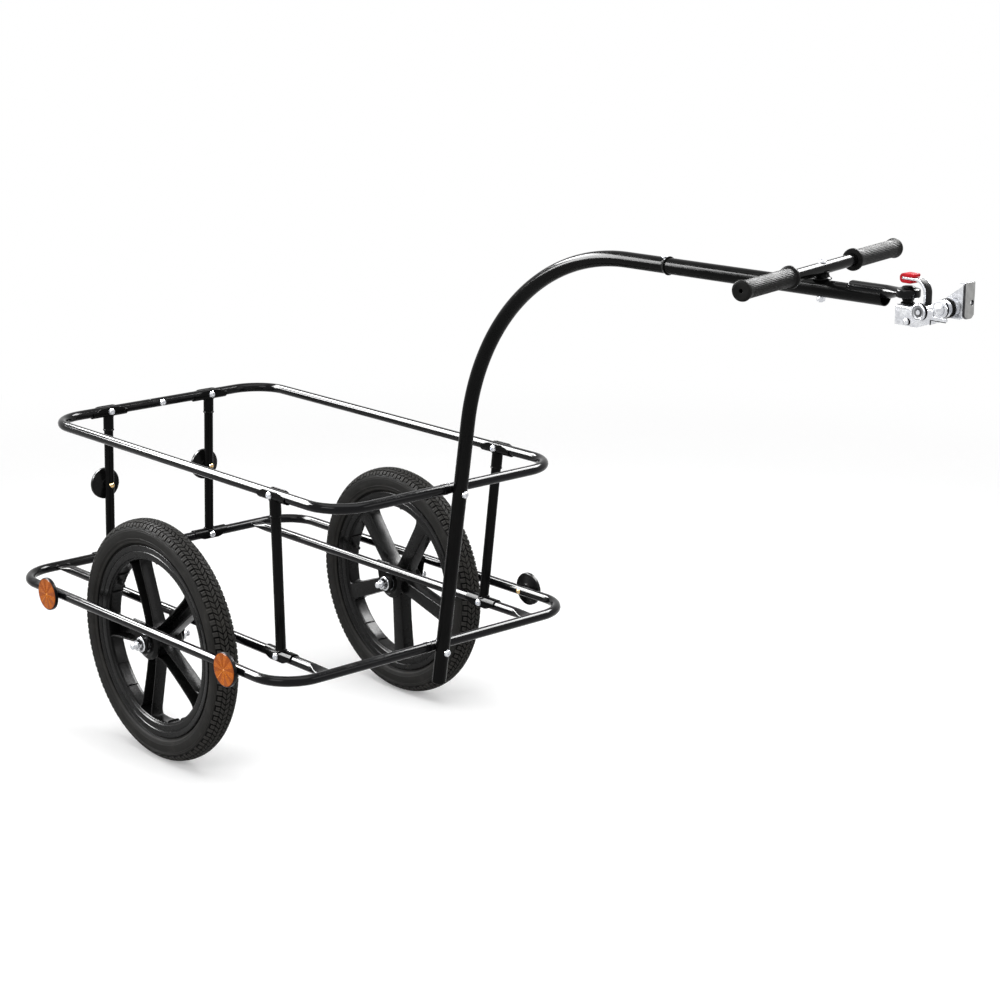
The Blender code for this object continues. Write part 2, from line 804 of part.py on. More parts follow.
def add_wheels():
    for side_name, side in sides_of_trailer.items():
        pivot = wheel_centre(side)
        place(tyre(side), 'tyre_' + side_name, 'tyre_rubber', pivot)
        place(wheel(side_name), 'wheel_' + side_name, 'moulded_nylon', pivot)
        place(axle(side), 'axle_' + side_name, 'zinc_plate')
        outward = side * axis_y
        outer_plate = axle_plate(outer_plate_face, outward)
        place(outer_plate, 'axle_plate_outer_' + side_name, 'satin_black_paint')
        inner_plate = axle_plate(inner_plate_face - plate_thickness, outward)
        place(inner_plate, 'axle_plate_inner_' + side_name, 'satin_black_paint')
        for end_name, end in (('outer', 1), ('inner', -1)):
            place(bearing(side, end), 'bearing_' + end_name + '_' + side_name, 'bearing_steel', pivot)
            place(axle_nut(side, end), 'axle_nut_' + end_name + '_' + side_name, 'zinc_plate')


# Drawbar

def drawbar_directions():
    """The lean of the drawbar's lower run, and the direction across it, away from the crossbars."""
    lean_angle = math.atan2(top_ring_front - lower_ring_front, top_ring_height - lower_ring_height)
    return (Vector((math.sin(lean_angle), 0, math.cos(lean_angle))),
            Vector((math.cos(lean_angle), 0, -math.sin(lean_angle))))


def drawbar_standoff():
    return frame_tube_radius + drawbar_radius + seat_gap


def top_run_direction():
    return Vector((math.cos(drawbar_rise), 0, math.sin(drawbar_rise)))


def top_run_point(along):
    """The point of the drawbar's top run above a given X."""
    height = drawbar_end_height + (along - drawbar_end) * drawbar_slope
    return Vector((along, 0, height))


def drawbar_bend():
    """Stations round the bend, which is tangent to the leaning run and to the top run."""
    lean, across = drawbar_directions()
    anchor = Vector((lower_ring_front, 0, lower_ring_height)) + drawbar_standoff() * across
    run = top_run_direction()
    end = top_run_point(drawbar_end)
    gap = end - anchor
    climb = (gap.x * run.z - gap.z * run.x) / (lean.x * run.z - lean.z * run.x)
    corner = anchor + climb * lean
    turn = math.acos(lean.dot(run))
    start = corner - drawbar_bend_radius * math.tan(turn / 2) * lean
    centre = start + drawbar_bend_radius * across
    stations = []
    for step in range(bend_steps + 1):
        angle = turn * step / bend_steps
        point = centre + drawbar_bend_radius * (math.sin(angle) * lean - math.cos(angle) * across)
        stations.append((point, math.cos(angle) * lean + math.sin(angle) * across))
    return stations


def button_place():
    return top_run_point(drawbar_joint - button_setback)


def drawbar_lower():
    """The leaning tube with its bend, drilled for two frame bolts and the spring button."""
    lean, across = drawbar_directions()
    anchor = Vector((lower_ring_front, 0, lower_ring_height)) + drawbar_standoff() * across
    joint = top_run_point(drawbar_joint) - seat_gap * axis_x
    route = [(anchor - drawbar_foot_drop * lean, lean)] + drawbar_bend() + [(joint, top_run_direction())]
    body = hollow_tube(with_radius(route, drawbar_radius), with_radius(route, drawbar_radius - drawbar_wall),
                       axis_y)
    for along, height in ((lower_ring_front, lower_ring_height), (top_ring_front, top_ring_height)):
        crossing = Vector((along, 0, height)) + drawbar_standoff() * across
        drill(body, crossing, across, 1.5 * drawbar_radius, bolt_hole_radius)
    drill_upwards(body, button_place(), 1.5 * drawbar_radius, button_hole_radius)
    return body


def drill_upwards(target, start, reach, radius):
    """A hole in the upper wall only, from a tube's axis up."""
    return cut(target, turned([(radius, 0), (radius, reach)], start, axis_z, bolt_sides))


def drawbar_upper():
    """The straight tube: a spigot behind, holes for the handle's screw and a trough for the tow arm."""
    run = top_run_direction()
    start = top_run_point(drawbar_joint)
    tip = start - drawbar_spigot * run
    neck = start + spigot_neck * run
    end = top_run_point(drawbar_end)
    bore = drawbar_radius - drawbar_wall
    spigot = bore - seat_gap
    outside = with_radius([(tip, run), (start, run)], spigot)
    outside += with_radius([(start, run), (end, run)], drawbar_radius)
    inside = with_radius([(tip, run), (neck, run)], spigot - drawbar_wall)
    inside += with_radius([(neck, run), (end, run)], bore)
    body = hollow_tube(outside, inside, axis_y)
    drill_upwards(body, button_place(), 1.5 * drawbar_radius, button_hole_radius)
    drill(body, top_run_point(handle_place), axis_z, 2 * drawbar_radius, handle_screw_hole, small_sides)
    trough = [(arm_line_point(arm_start - seat_gap), run),
              (arm_line_point(drawbar_end + drawbar_radius), run)]
    return cut(body, loft(swept_rings(with_radius(trough, arm_radius + seat_gap), axis_y, tube_sides)))


def lock_button():
    """A domed pin with a collar that holds it in the spigot."""
    stem = drawbar_radius + button_stand
    collar_top = drawbar_radius - button_collar_drop
    profile = [(button_collar_radius, collar_top - button_collar_height), (button_collar_radius, collar_top),
               (button_radius, collar_top), (button_radius, stem - button_radius / 3),
               (button_radius * dome_share, stem)]
    return turned(profile, button_place(), axis_z, bolt_sides)


def drawbar_bolt(along, height):
    """A bolt through the drawbar and the crossbar behind it, square to the drawbar."""
    lean, across = drawbar_directions()
    front = Vector((along, 0, height)) + (drawbar_standoff() + drawbar_radius + seat_gap) * across
    grip = drawbar_standoff() + drawbar_radius + frame_tube_radius + 2 * seat_gap
    return bolt(front, -across, grip)


def add_drawbar():
    place(drawbar_lower(), 'drawbar_lower', 'satin_black_paint')
    place(drawbar_upper(), 'drawbar_upper', 'satin_black_paint')
    place(lock_button(), 'drawbar_lock_button', 'zinc_plate', button_place())
    place(drawbar_bolt(top_ring_front, top_ring_height), 'drawbar_bolt_upper', 'zinc_plate')
    place(drawbar_bolt(lower_ring_front, lower_ring_height), 'drawbar_bolt_lower', 'zinc_plate')


# Handle

def handle_centre():
    return Vector((handle_place, 0, handle_height))


def handle_direction():
    """From the handle's middle to its left grip."""
    return Vector((-math.sin(handle_yaw), math.cos(handle_yaw), 0))


def handle_bar():
    """The cross tube with its round boss, and the screw that goes down through the drawbar."""
    centre = handle_centre()
    along = handle_direction()
    end = handle_half_length - grip_end_wall - seat_gap
    ends = [(centre - end * along, along), (centre + end * along, along)]
    bore = handle_bar_radius - handle_bar_wall
    bar = hollow_tube(with_radius(ends, handle_bar_radius), with_radius(ends, bore), axis_z)
    seat = handle_drawbar_height + drawbar_radius + handle_boss_gap
    nut_top = handle_drawbar_height - drawbar_radius - handle_boss_gap
    bar_bottom = handle_height - handle_bar_radius
    bar_top = handle_height + handle_bar_radius
    stem = [(handle_nut_radius, nut_top - handle_nut_height), (handle_nut_radius, nut_top),
            (handle_screw_radius, nut_top), (handle_screw_radius, seat), (handle_boss_radius, seat),
            (handle_boss_radius, (seat + bar_bottom) / 2),
            (handle_bar_radius, bar_bottom + handle_bar_radius / 3),
            (handle_nut_radius, bar_top), (handle_nut_radius, bar_top + handle_bar_wall),
            (handle_screw_radius, bar_top + 2 * handle_bar_wall)]
    return join(bar, turned(stem, (handle_place, 0, 0), axis_z, small_sides))


def grip(direction):
    """A rubber grip: a flange at its inner end, a thicker outer end with a small hole."""
    outer_end = handle_half_length
    inner_end = outer_end - grip_length
    sleeve = handle_bar_radius + seat_gap
    outside = [(grip_flange_radius, inner_end), (grip_flange_radius, inner_end + grip_flange_length),
               (grip_radius, inner_end + grip_flange_length + grip_flange_slope),
               (grip_radius, outer_end - grip_end_length),
               (grip_end_radius, outer_end - grip_end_length + grip_end_slope),
               (grip_end_radius - grip_end_taper, outer_end)]
    inside = [(grip_end_hole, outer_end), (grip_end_hole, outer_end - grip_end_wall),
              (sleeve, outer_end - grip_end_wall), (sleeve, inner_end)]
    return turned(outside + inside, handle_centre(), direction, tube_sides, closed=True)


def add_handle():
    pivot = handle_centre()
    place(handle_bar(), 'handle_bar', 'satin_black_paint', pivot)
    place(grip(handle_direction()), 'grip_left', 'grip_rubber', pivot)
    place(grip(-handle_direction()), 'grip_right', 'grip_rubber', pivot)


# Tow arm and coupling

def arm_line_point(along):
    """A point of the tow arm's axis, which lies parallel to the drawbar's top run."""
    return top_run_point(along) + arm_lift * axis_z


def eye_centre():
    return Vector((eye_place, 0, eye_height))


def tow_arm():
    """A rod whose front end is forged into a flat eye for the kingpin."""
    run = top_run_direction()
    eye = eye_centre()
    shank_end = arm_line_point(eye.x - eye_radius - arm_taper_length)
    stations = [(arm_line_point(arm_start), run, arm_radius, arm_radius),
                (shank_end, run, arm_radius, arm_radius),
                (eye - eye_root_reach * axis_x, run, eye_root_half_height, eye_root_half_width),
                (eye, run, eye_root_half_height, eye_root_half_width)]
    body = loft(swept_rings(stations, axis_y, tube_sides))
    half = eye_thickness / 2
    bevel = half / 3
    rim_profile = [(eye_radius - bevel, -half), (eye_radius, bevel - half), (eye_radius, half - bevel),
                   (eye_radius - bevel, half)]
    join(body, turned(rim_profile, eye, axis_z, hub_sides))
    return drill(body, eye, axis_z, eye_thickness, kingpin_radius + seat_gap, small_sides)


def kingpin():
    """The upright pin of the coupler: a low head over the eye and a nut under the housing's web."""
    eye = eye_centre()
    head = eye.z + eye_thickness / 2 + seat_gap
    web_bottom = housing_top - housing_wall - seat_gap
    profile = [(kingpin_nut_radius, web_bottom - kingpin_nut_height), (kingpin_nut_radius, web_bottom),
               (kingpin_radius, web_bottom), (kingpin_radius, head), (kingpin_head_radius, head),
               (kingpin_head_radius, head + kingpin_head_height / 2),
               (kingpin_head_radius * low_dome_share, head + kingpin_head_height)]
    return turned(profile, (eye.x, 0, 0), axis_z, small_sides)


def cheek_outline():
    """The housing's side: its lower edge rises forward, and a tongue runs on under the barrel."""
    tongue_top = housing_tongue_bottom + housing_tongue_height
    top_front = barrel_place - cross_bolt_head_radius - 2 * seat_gap
    return [(housing_rear, housing_bottom), (housing_cheek_front - housing_rise_length, housing_bottom),
            (housing_cheek_front, housing_bottom + housing_rise),
            (housing_cheek_front, housing_tongue_bottom),
            (housing_tongue, housing_tongue_bottom), (housing_tongue, tongue_top), (top_front, tongue_top),
            (top_front, housing_top), (housing_rear, housing_top)]


def coupler_housing():
    """A pressed channel with a neck on its web, a barrel for the cross bolt and a spacer rivet."""
    outline = [Vector((along, -housing_half_width, height)) for along, height in cheek_outline()]
    body = extruded(outline, 2 * housing_half_width * axis_y)
    inner_half = housing_half_width - housing_wall
    behind = housing_rear - cut_margin
    ahead = housing_tongue + cut_margin
    below = housing_bottom - cut_margin
    above = housing_top + cut_margin
    web_bottom = housing_top - housing_wall
    corners = [(behind, below), (ahead, below), (ahead, above), (housing_web_front, above),
               (housing_web_front, web_bottom), (behind, web_bottom)]
    hollow = [Vector((along, -inner_half, height)) for along, height in corners]
    cut(body, extruded(hollow, 2 * inner_half * axis_y))
    eye = eye_centre()
    neck_top = eye.z - eye_thickness / 2 - seat_gap
    neck_foot = housing_top - housing_wall / 2
    neck = [(neck_radius, neck_foot), (neck_radius, neck_top)]
    join(body, turned(neck, (eye.x, 0, 0), axis_z, small_sides))
    barrel = (barrel_place, 0, barrel_height)
    near_end = bracket_web_face - seat_gap - washer_thickness - seat_gap
    far_start = bracket_web_face + bracket_wall + seat_gap
    join(body, turned([(barrel_radius, -barrel_reach), (barrel_radius, near_end)], barrel, axis_y, hub_sides))
    join(body, turned([(barrel_radius, far_start), (barrel_radius, barrel_reach)], barrel, axis_y, hub_sides))
    head = housing_half_width + rivet_head_height
    rivet = [(rivet_head_radius, -head), (rivet_head_radius, 0.5 * housing_wall - housing_half_width),
             (rivet_radius, 0.5 * housing_wall - housing_half_width),
             (rivet_radius, housing_half_width - 0.5 * housing_wall),
             (rivet_head_radius, housing_half_width - 0.5 * housing_wall), (rivet_head_radius, head)]
    join(body, turned(rivet, (rivet_place, 0, rivet_height), axis_y, small_sides))
    drill(body, (eye.x, 0, neck_foot), axis_z, eye_thickness, kingpin_radius + seat_gap, small_sides)
    drill(body, barrel, axis_y, 2 * barrel_reach, cross_bolt_radius + seat_gap, small_sides)
    pin_hole = lever_pin_radius + 2 * seat_gap
    return drill(body, lever_pivot(), axis_y, 2 * housing_half_width, pin_hole, small_sides)


def lever_pivot():
    return Vector((lever_pivot_place, 0, lever_pivot_height))


def lever_route():
    """The lever's strip in side view: up from its eye, round a bend and back over the eye of the arm."""
    foot = lever_pivot() + 0.5 * lever_eye_radius * axis_z
    bend_start = lever_pivot() + (lever_rise - lever_bend_radius) * axis_z
    bend_centre = bend_start - lever_bend_radius * axis_x
    route = [(foot, axis_z), (bend_start, axis_z)]
    for step in range(1, lever_bend_steps + 1):
        angle = math.radians(90) * step / lever_bend_steps
        outward = Vector((math.cos(angle), 0, math.sin(angle)))
        route.append((bend_centre + lever_bend_radius * outward,
                      Vector((-math.sin(angle), 0, math.cos(angle)))))
    tip = Vector((lever_pivot().x - lever_reach + sleeve_wall, 0, route[-1][0].z))
    return route + [(tip, -axis_x)]


def coupler_lever():
    """A bent strip on a round eye, whose trunnion pin turns in the housing's cheeks."""
    rings = []
    half_width = lever_width / 2
    for point, direction in lever_route():
        outward = axis_y.cross(direction)
        half = lever_thickness / 2
        outer, inner = point + half * outward, point - half * outward
        rings.append([outer + half_width * axis_y, inner + half_width * axis_y,
                      inner - half_width * axis_y, outer - half_width * axis_y])
    body = loft(rings)
    inside = housing_half_width - housing_wall - seat_gap
    outside = housing_half_width + seat_gap
    profile = [(lever_pin_head_radius * low_dome_share, -outside - lever_pin_head_height),
               (lever_pin_head_radius, -outside - lever_pin_head_height / 2),
               (lever_pin_head_radius, -outside), (lever_pin_radius, -outside),
               (lever_pin_radius, -inside), (lever_eye_radius, -inside), (lever_eye_radius, inside),
               (lever_pin_radius, inside), (lever_pin_radius, outside), (rivet_head_radius, outside),
               (rivet_head_radius, outside + rivet_head_height)]
    return join(body, turned(profile, lever_pivot(), axis_y, small_sides))


def lever_sleeve():
    """A plastic sleeve over the lever's end: a C of soft plastic, open towards the bend."""
    tip = lever_route()[-1][0]
    inner_half = lever_thickness / 2 + seat_gap
    outer_half = inner_half + sleeve_wall
    mouth = tip.x - sleeve_wall - seat_gap + sleeve_length
    outline = []
    for step in range(sleeve_end_steps + 1):
        angle = math.radians(90 + 180 * step / sleeve_end_steps)
        outline.append((tip.x - sleeve_wall - seat_gap + outer_half * (1 + math.cos(angle)),
                        tip.z + outer_half * math.sin(angle)))
    slot_end = tip.x - seat_gap
    outline += [(mouth, tip.z - outer_half), (mouth, tip.z - inner_half), (slot_end, tip.z - inner_half),
                (slot_end, tip.z + inner_half), (mouth, tip.z + inner_half), (mouth, tip.z + outer_half)]
    points = [Vector((along, -sleeve_width / 2, height)) for along, height in outline]
    return extruded(points, sleeve_width * axis_y)


def cross_bolt():
    """The bolt through the barrel and the bracket's eye, with a domed head on the right side."""
    reach = barrel_reach + seat_gap
    head_top = -reach - cross_bolt_head_height
    profile = [(cross_bolt_head_radius * dome_share, head_top),
               (cross_bolt_head_radius, (head_top - reach) / 2),
               (cross_bolt_head_radius, -reach), (cross_bolt_radius, -reach), (cross_bolt_radius, reach),
               (cross_bolt_head_radius, reach), (cross_bolt_head_radius, reach + cross_bolt_nut_height)]
    return turned(profile, (barrel_place, 0, barrel_height), axis_y, small_sides)


def rubber_washer():
    face = bracket_web_face - seat_gap
    hole = cross_bolt_radius + seat_gap
    profile = [(hole, face - washer_thickness), (washer_radius, face - washer_thickness),
               (washer_radius, face), (hole, face)]
    return turned(profile, (barrel_place, 0, barrel_height), axis_y, hub_sides, closed=True)


def bike_bracket():
    """A web that turns on the cross bolt, with a flange that is screwed to the bicycle."""
    eye = Vector((barrel_place, bracket_web_face, barrel_height))
    outline = []
    for step in range(bracket_eye_steps + 1):
        angle = bracket_eye_start + bracket_eye_sweep * step / bracket_eye_steps
        outline.append(eye + bracket_eye_radius * Vector((math.cos(angle), 0, math.sin(angle))))
    outline.append(Vector((flange_place + bracket_wall / 2, bracket_web_face, flange_bottom)))
    outline.append(Vector((flange_place + bracket_wall / 2, bracket_web_face, flange_top)))
    body = extruded(outline, bracket_wall * axis_y)
    middle = bracket_web_face + bracket_wall / 2
    right = middle - flange_half_width
    left = middle + flange_half_width
    corners = [(right, flange_bottom + flange_corner), (right + flange_corner, flange_bottom),
               (left - flange_corner, flange_bottom), (left, flange_bottom + flange_corner),
               (left, flange_top), (right, flange_top)]
    face = [Vector((flange_place, across, height)) for across, height in corners]
    join(body, extruded(face, bracket_wall * axis_x))
    lip_corner = Vector((flange_place - flange_lip, middle - flange_half_width,
                         flange_top - bracket_wall / 2))
    lip_outline = [lip_corner, lip_corner + 2 * flange_half_width * axis_y,
                   lip_corner + 2 * flange_half_width * axis_y + (bracket_wall / 2) * axis_z,
                   lip_corner + (bracket_wall / 2) * axis_z]
    join(body, extruded(lip_outline, (flange_lip + bracket_wall / 2) * axis_x))
    drill(body, eye, axis_y, 2 * bracket_wall, cross_bolt_radius + seat_gap, small_sides)
    hole = (flange_place + bracket_wall, middle + flange_half_width / 2, flange_hole_height)
    return drill(body, hole, axis_x, bracket_wall + seat_gap, flange_hole_radius, bolt_sides)


def add_coupling():
    eye = eye_centre()
    barrel = (barrel_place, 0, barrel_height)
    place(tow_arm(), 'tow_arm', 'gloss_black_paint')
    place(kingpin(), 'coupler_kingpin', 'zinc_plate', (eye.x, 0, eye.z))
    place(coupler_housing(), 'coupler_housing', 'zinc_plate', (eye.x, 0, eye.z))
    place(coupler_lever(), 'coupler_lever', 'zinc_plate', lever_pivot())
    place(lever_sleeve(), 'lever_sleeve', 'red_plastic', lever_pivot())
    place(cross_bolt(), 'hitch_cross_bolt', 'zinc_plate', barrel)
    place(rubber_washer(), 'hitch_washer', 'washer_rubber', barrel)
    place(bike_bracket(), 'bike_bracket', 'bracket_steel', barrel)


def build_trailer():
    clear_scene()
    add_layout_empty()
    add_rings()
    add_rails()
    add_uprights()
    add_frame_bolts()
    add_reflectors()
    add_wheels()
    add_drawbar()
    add_handle()
    add_coupling()


build_trailer()
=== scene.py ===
import math
import bpy
import numpy as np
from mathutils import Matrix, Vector


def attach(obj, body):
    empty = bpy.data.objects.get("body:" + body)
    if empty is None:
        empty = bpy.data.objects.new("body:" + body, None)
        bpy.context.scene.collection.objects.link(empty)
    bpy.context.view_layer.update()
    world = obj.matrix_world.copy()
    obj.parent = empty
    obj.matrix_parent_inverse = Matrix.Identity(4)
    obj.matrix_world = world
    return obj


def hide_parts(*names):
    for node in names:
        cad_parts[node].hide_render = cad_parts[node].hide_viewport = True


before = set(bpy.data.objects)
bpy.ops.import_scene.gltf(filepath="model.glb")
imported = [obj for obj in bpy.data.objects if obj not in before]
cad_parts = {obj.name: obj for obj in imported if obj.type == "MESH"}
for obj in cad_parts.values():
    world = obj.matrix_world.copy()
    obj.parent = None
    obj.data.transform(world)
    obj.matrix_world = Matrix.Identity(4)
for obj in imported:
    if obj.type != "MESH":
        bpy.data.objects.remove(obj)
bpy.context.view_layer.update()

# The numbers below count from the axle; this brings them to the middle of the trailer's length.
shift = np.array([-0.4927, 0.0, 0.0])
sides = {"left": 1.0, "right": -1.0}
axisX = np.array([1.0, 0.0, 0.0])
axisY = np.array([0.0, 1.0, 0.0])
axisZ = np.array([0.0, 0.0, 1.0])
seatGap = 0.0003
tubeWall = 0.0015
weldSwell, weldSides = 0.16, 10
tau = 2 * math.pi


# Mesh helpers

def unit(vectors):
    # each vector divided by its own length
    vectors = np.asarray(vectors, float)
    return vectors / np.linalg.norm(vectors, axis=-1, keepdims=True)


def at(x, y, z):
    # a place or a way as an array
    return np.array([x, y, z], float)


def lattice(rows, columns, wrapRows=False, wrapColumns=False):
    # four corners of every cell of a rows x columns grid, numbered row after row
    r, c = np.meshgrid(np.arange(rows if wrapRows else rows - 1),
                       np.arange(columns if wrapColumns else columns - 1), indexing="ij")
    below, after = (r + 1) % rows, (c + 1) % columns
    corners = [r * columns + c, r * columns + after, below * columns + after, below * columns + c]
    return np.stack(corners, -1).reshape(-1, 4)


def outwards(shell):
    # signed volume is a sixth of the sum of a . (b x c) over the triangles; a negative one is turned round
    points = shell["points"]
    total = 0.0
    for block in shell["faces"]:
        block = np.asarray(block)
        for k in range(1, block.shape[1] - 1):
            a, b, c = points[block[:, 0]], points[block[:, k]], points[block[:, k + 1]]
            total += np.einsum("ij,ij->", a, np.cross(b, c))
    if total < 0:
        shell["faces"] = [np.asarray(block)[:, ::-1] for block in shell["faces"]]
    return shell


def sheet(grid, wrapRows=False, caps="fan", paint=0, tag=None):
    # a grid of points (rows, columns, 3) as a closed skin; open ends get a fan or one flat face
    rows, columns = grid.shape[:2]
    points = grid.reshape(-1, 3)
    faces = [lattice(rows, columns, wrapRows, True)]
    tags = np.zeros(len(points)) if tag is None else np.broadcast_to(tag, (rows, columns)).reshape(-1)
    if caps == "flat" and not wrapRows:
        ring = np.arange(columns)
        faces += [ring[None, ::-1], (rows - 1) * columns + ring[None]]
    elif caps == "fan" and not wrapRows:
        middles = np.stack([grid[0].mean(0), grid[-1].mean(0)])
        ring = np.arange(columns)
        after = (ring + 1) % columns
        count = len(points)
        faces.append(np.stack([after, ring, np.full(columns, count)], -1))
        last = (rows - 1) * columns
        faces.append(np.stack([last + ring, last + after, np.full(columns, count + 1)], -1))
        points = np.concatenate([points, middles])
        tags = np.concatenate([tags, [tags[0], tags[-1]]])
    return outwards({"points": points, "faces": faces, "paint": paint, "tags": tags})


def moved(shell, offset):
    # the shell's points shifted by an offset
    fresh = dict(shell)
    fresh["points"] = shell["points"] + offset
    return outwards(fresh)


def mirrored(shells):
    # the same shells on the trailer's other side, with their faces turned to point out again
    fresh = []
    for shell in shells:
        copy = dict(shell)
        copy["points"] = shell["points"] * np.array([1.0, -1.0, 1.0])
        fresh.append(outwards(copy))
    return fresh


def makePiece(name, shells, materials, body, replaced=(), sharp=38.0, tagName=None):
    # joins the shells into one mesh with foreach_set; each shell picks its material by number
    materials = materials if isinstance(materials, (list, tuple)) else [materials]
    pointBlocks, loopBlocks, sizeBlocks, paintBlocks, tagBlocks = [], [], [], [], []
    offset = 0
    for shell in shells:
        pointBlocks.append(shell["points"] + shift)
        tagBlocks.append(shell["tags"])
        for block in shell["faces"]:
            block = np.asarray(block)
            loopBlocks.append((block + offset).reshape(-1))
            sizeBlocks.append(np.full(len(block), block.shape[1]))
            paintBlocks.append(np.full(len(block), shell["paint"]))
        offset += len(shell["points"])
    points, loops = np.concatenate(pointBlocks), np.concatenate(loopBlocks)
    sizes, paints = np.concatenate(sizeBlocks), np.concatenate(paintBlocks)
    mesh = bpy.data.meshes.new(name)
    mesh.vertices.add(len(points))
    mesh.vertices.foreach_set("co", points.astype(np.float32).reshape(-1))
    mesh.loops.add(len(loops))
    mesh.loops.foreach_set("vertex_index", loops.astype(np.int32))
    mesh.polygons.add(len(sizes))
    starts = np.concatenate([[0], np.cumsum(sizes)[:-1]]).astype(np.int32)
    mesh.polygons.foreach_set("loop_start", starts)
    mesh.polygons.foreach_set("loop_total", sizes.astype(np.int32))
    for material in materials:
        mesh.materials.append(material)
    mesh.polygons.foreach_set("material_index", paints.astype(np.int32))
    mesh.update(calc_edges=True)
    if tagName:
        layer = mesh.attributes.new(tagName, "FLOAT", "POINT")
        layer.data.foreach_set("value", np.concatenate(tagBlocks).astype(np.float32))
    mesh.shade_smooth()
    mesh.set_sharp_from_angle(angle=math.radians(sharp))
    made = bpy.data.objects.new(name, mesh)
    bpy.context.scene.collection.objects.link(made)
    if replaced:
        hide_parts(*replaced)
    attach(made, body)
    return made


def rounded(corners, radii, steps=6, closed=False):
    # a line through corners with arcs: each arc leaves its corner by r tan(half turn) on both sides
    corners = np.asarray(corners, float)
    count = len(corners)
    radii = np.broadcast_to(radii, count)
    line = []
    for k in range(count):
        here = corners[k]
        if (not closed and k in (0, count - 1)) or radii[k] <= 0:
            line.append(here[None])
            continue
        back, ahead = corners[k - 1] - here, corners[(k + 1) % count] - here
        backLength, aheadLength = np.linalg.norm(back), np.linalg.norm(ahead)
        back, ahead = back / backLength, ahead / aheadLength
        half = math.acos(np.clip(back @ ahead, -1, 1)) / 2
        if half > 1.5533:
            line.append(here[None])
            continue
        # an arc may take nearly all of an open line's end leg, and just under half of any other
        backShare = 0.98 if not closed and k == 1 else 0.48
        aheadShare = 0.98 if not closed and k == count - 2 else 0.48
        reach = min(radii[k] / math.tan(half), backShare * backLength, aheadShare * aheadLength)
        radius = reach * math.tan(half)
        middle = here + unit(back + ahead) * radius / math.sin(half)
        start, end = here + reach * back - middle, here + reach * ahead - middle
        sweep = math.acos(np.clip(unit(start) @ unit(end), -1, 1))
        share = np.linspace(0, 1, steps + 1)[:, None]
        turned = np.sin((1 - share) * sweep) * start + np.sin(share * sweep) * end
        line.append(middle + turned / math.sin(sweep))
    return np.concatenate(line)


def pathTangents(path):
    # the mean of the directions before and after each point
    steps = unit(np.diff(path, axis=0))
    return unit(np.concatenate([steps[:1], steps[:-1] + steps[1:], steps[-1:]]))


def circleLine(count):
    # cosine and sine of evenly spread angles
    angle = tau * np.arange(count) / count
    return np.stack([np.cos(angle), np.sin(angle)], -1)


def carried(section, path, tangents, up, scale=None):
    # a flat profile (columns, 2) carried along a path; its axes are up x tangent and tangent x the first
    across = unit(np.cross(np.broadcast_to(up, tangents.shape), tangents))
    over = np.cross(tangents, across)
    section = np.asarray(section, float)
    if section.ndim == 2:
        section = np.broadcast_to(section, (len(path),) + section.shape)
    if scale is not None:
        section = section * np.asarray(scale, float).reshape(len(path), 1, -1)
    return path[:, None] + section[..., :1] * across[:, None] + section[..., 1:] * over[:, None]


def tubeShell(path, radius, up=axisZ, count=28, wall=tubeWall, openEnds=(True, True), depth=0.03):
    # a round tube along a path; an open end has a small rounded lip and a bore that runs some way in
    lip = 0.0004
    path = np.asarray(path, float)
    tangents = pathTangents(path)
    radius = np.broadcast_to(radius, len(path)).astype(float)
    places, ways, reach = [], [], []
    if openEnds[0]:
        places += [path[0] + depth * tangents[0], path[0] + lip * tangents[0], path[0], path[0]]
        ways += [tangents[0]] * 4
        reach += [radius[0] - wall, radius[0] - wall, radius[0] - wall + lip, radius[0] - lip]
        places.append(path[0] + lip * tangents[0])
        ways.append(tangents[0])
        reach.append(radius[0])
    else:
        places.append(path[0])
        ways.append(tangents[0])
        reach.append(radius[0])
    places += list(path[1:-1])
    ways += list(tangents[1:-1])
    reach += list(radius[1:-1])
    if openEnds[1]:
        places += [path[-1] - lip * tangents[-1], path[-1], path[-1], path[-1] - lip * tangents[-1],
                   path[-1] - depth * tangents[-1]]
        ways += [tangents[-1]] * 5
        reach += [radius[-1], radius[-1] - lip, radius[-1] - wall + lip, radius[-1] - wall,
                  radius[-1] - wall]
    else:
        places.append(path[-1])
        ways.append(tangents[-1])
        reach.append(radius[-1])
    reach = np.array(reach)
    return sheet(carried(circleLine(count), np.array(places), np.array(ways), up,
                         np.stack([reach, reach], -1)))


def frameAcross(axis):
    # two directions square to an axis
    axis = unit(axis)
    helper = axisX if abs(axis[1]) > 0.9 or abs(axis[2]) > 0.9 else axisY
    first = unit(helper - (helper @ axis) * axis)
    return first, np.cross(axis, first)


def hexReach(angle, apothem):
    # radius of a hexagon at an angle: its apothem over the cosine of the angle from the nearest flat
    return apothem / np.cos((angle + math.pi / 6) % (math.pi / 3) - math.pi / 6)


def revolved(profile, centre, axis, count=36, apothem=None, loop=False, paint=0, tag=None):
    # (radius, height) pairs turned about an axis; rows with an apothem are trimmed to a hexagon
    profile = np.asarray(profile, float)
    first, second = frameAcross(axis)
    angle = tau * np.arange(count) / count
    reach = np.repeat(profile[:, :1], count, 1)
    if apothem is not None:
        trims = np.broadcast_to(np.asarray(apothem, float), len(profile))
        hexagon = hexReach(angle[None], 1.0) * np.where(trims > 0, trims, 1e3)[:, None]
        reach = np.minimum(reach, hexagon)
    around = np.cos(angle)[:, None] * first + np.sin(angle)[:, None] * second
    grid = np.asarray(centre, float) + reach[..., None] * around[None] + profile[:, 1:, None] * unit(axis)
    tag = None if tag is None else np.asarray(tag, float)[:, None]
    return sheet(grid, wrapRows=loop, paint=paint, tag=tag)


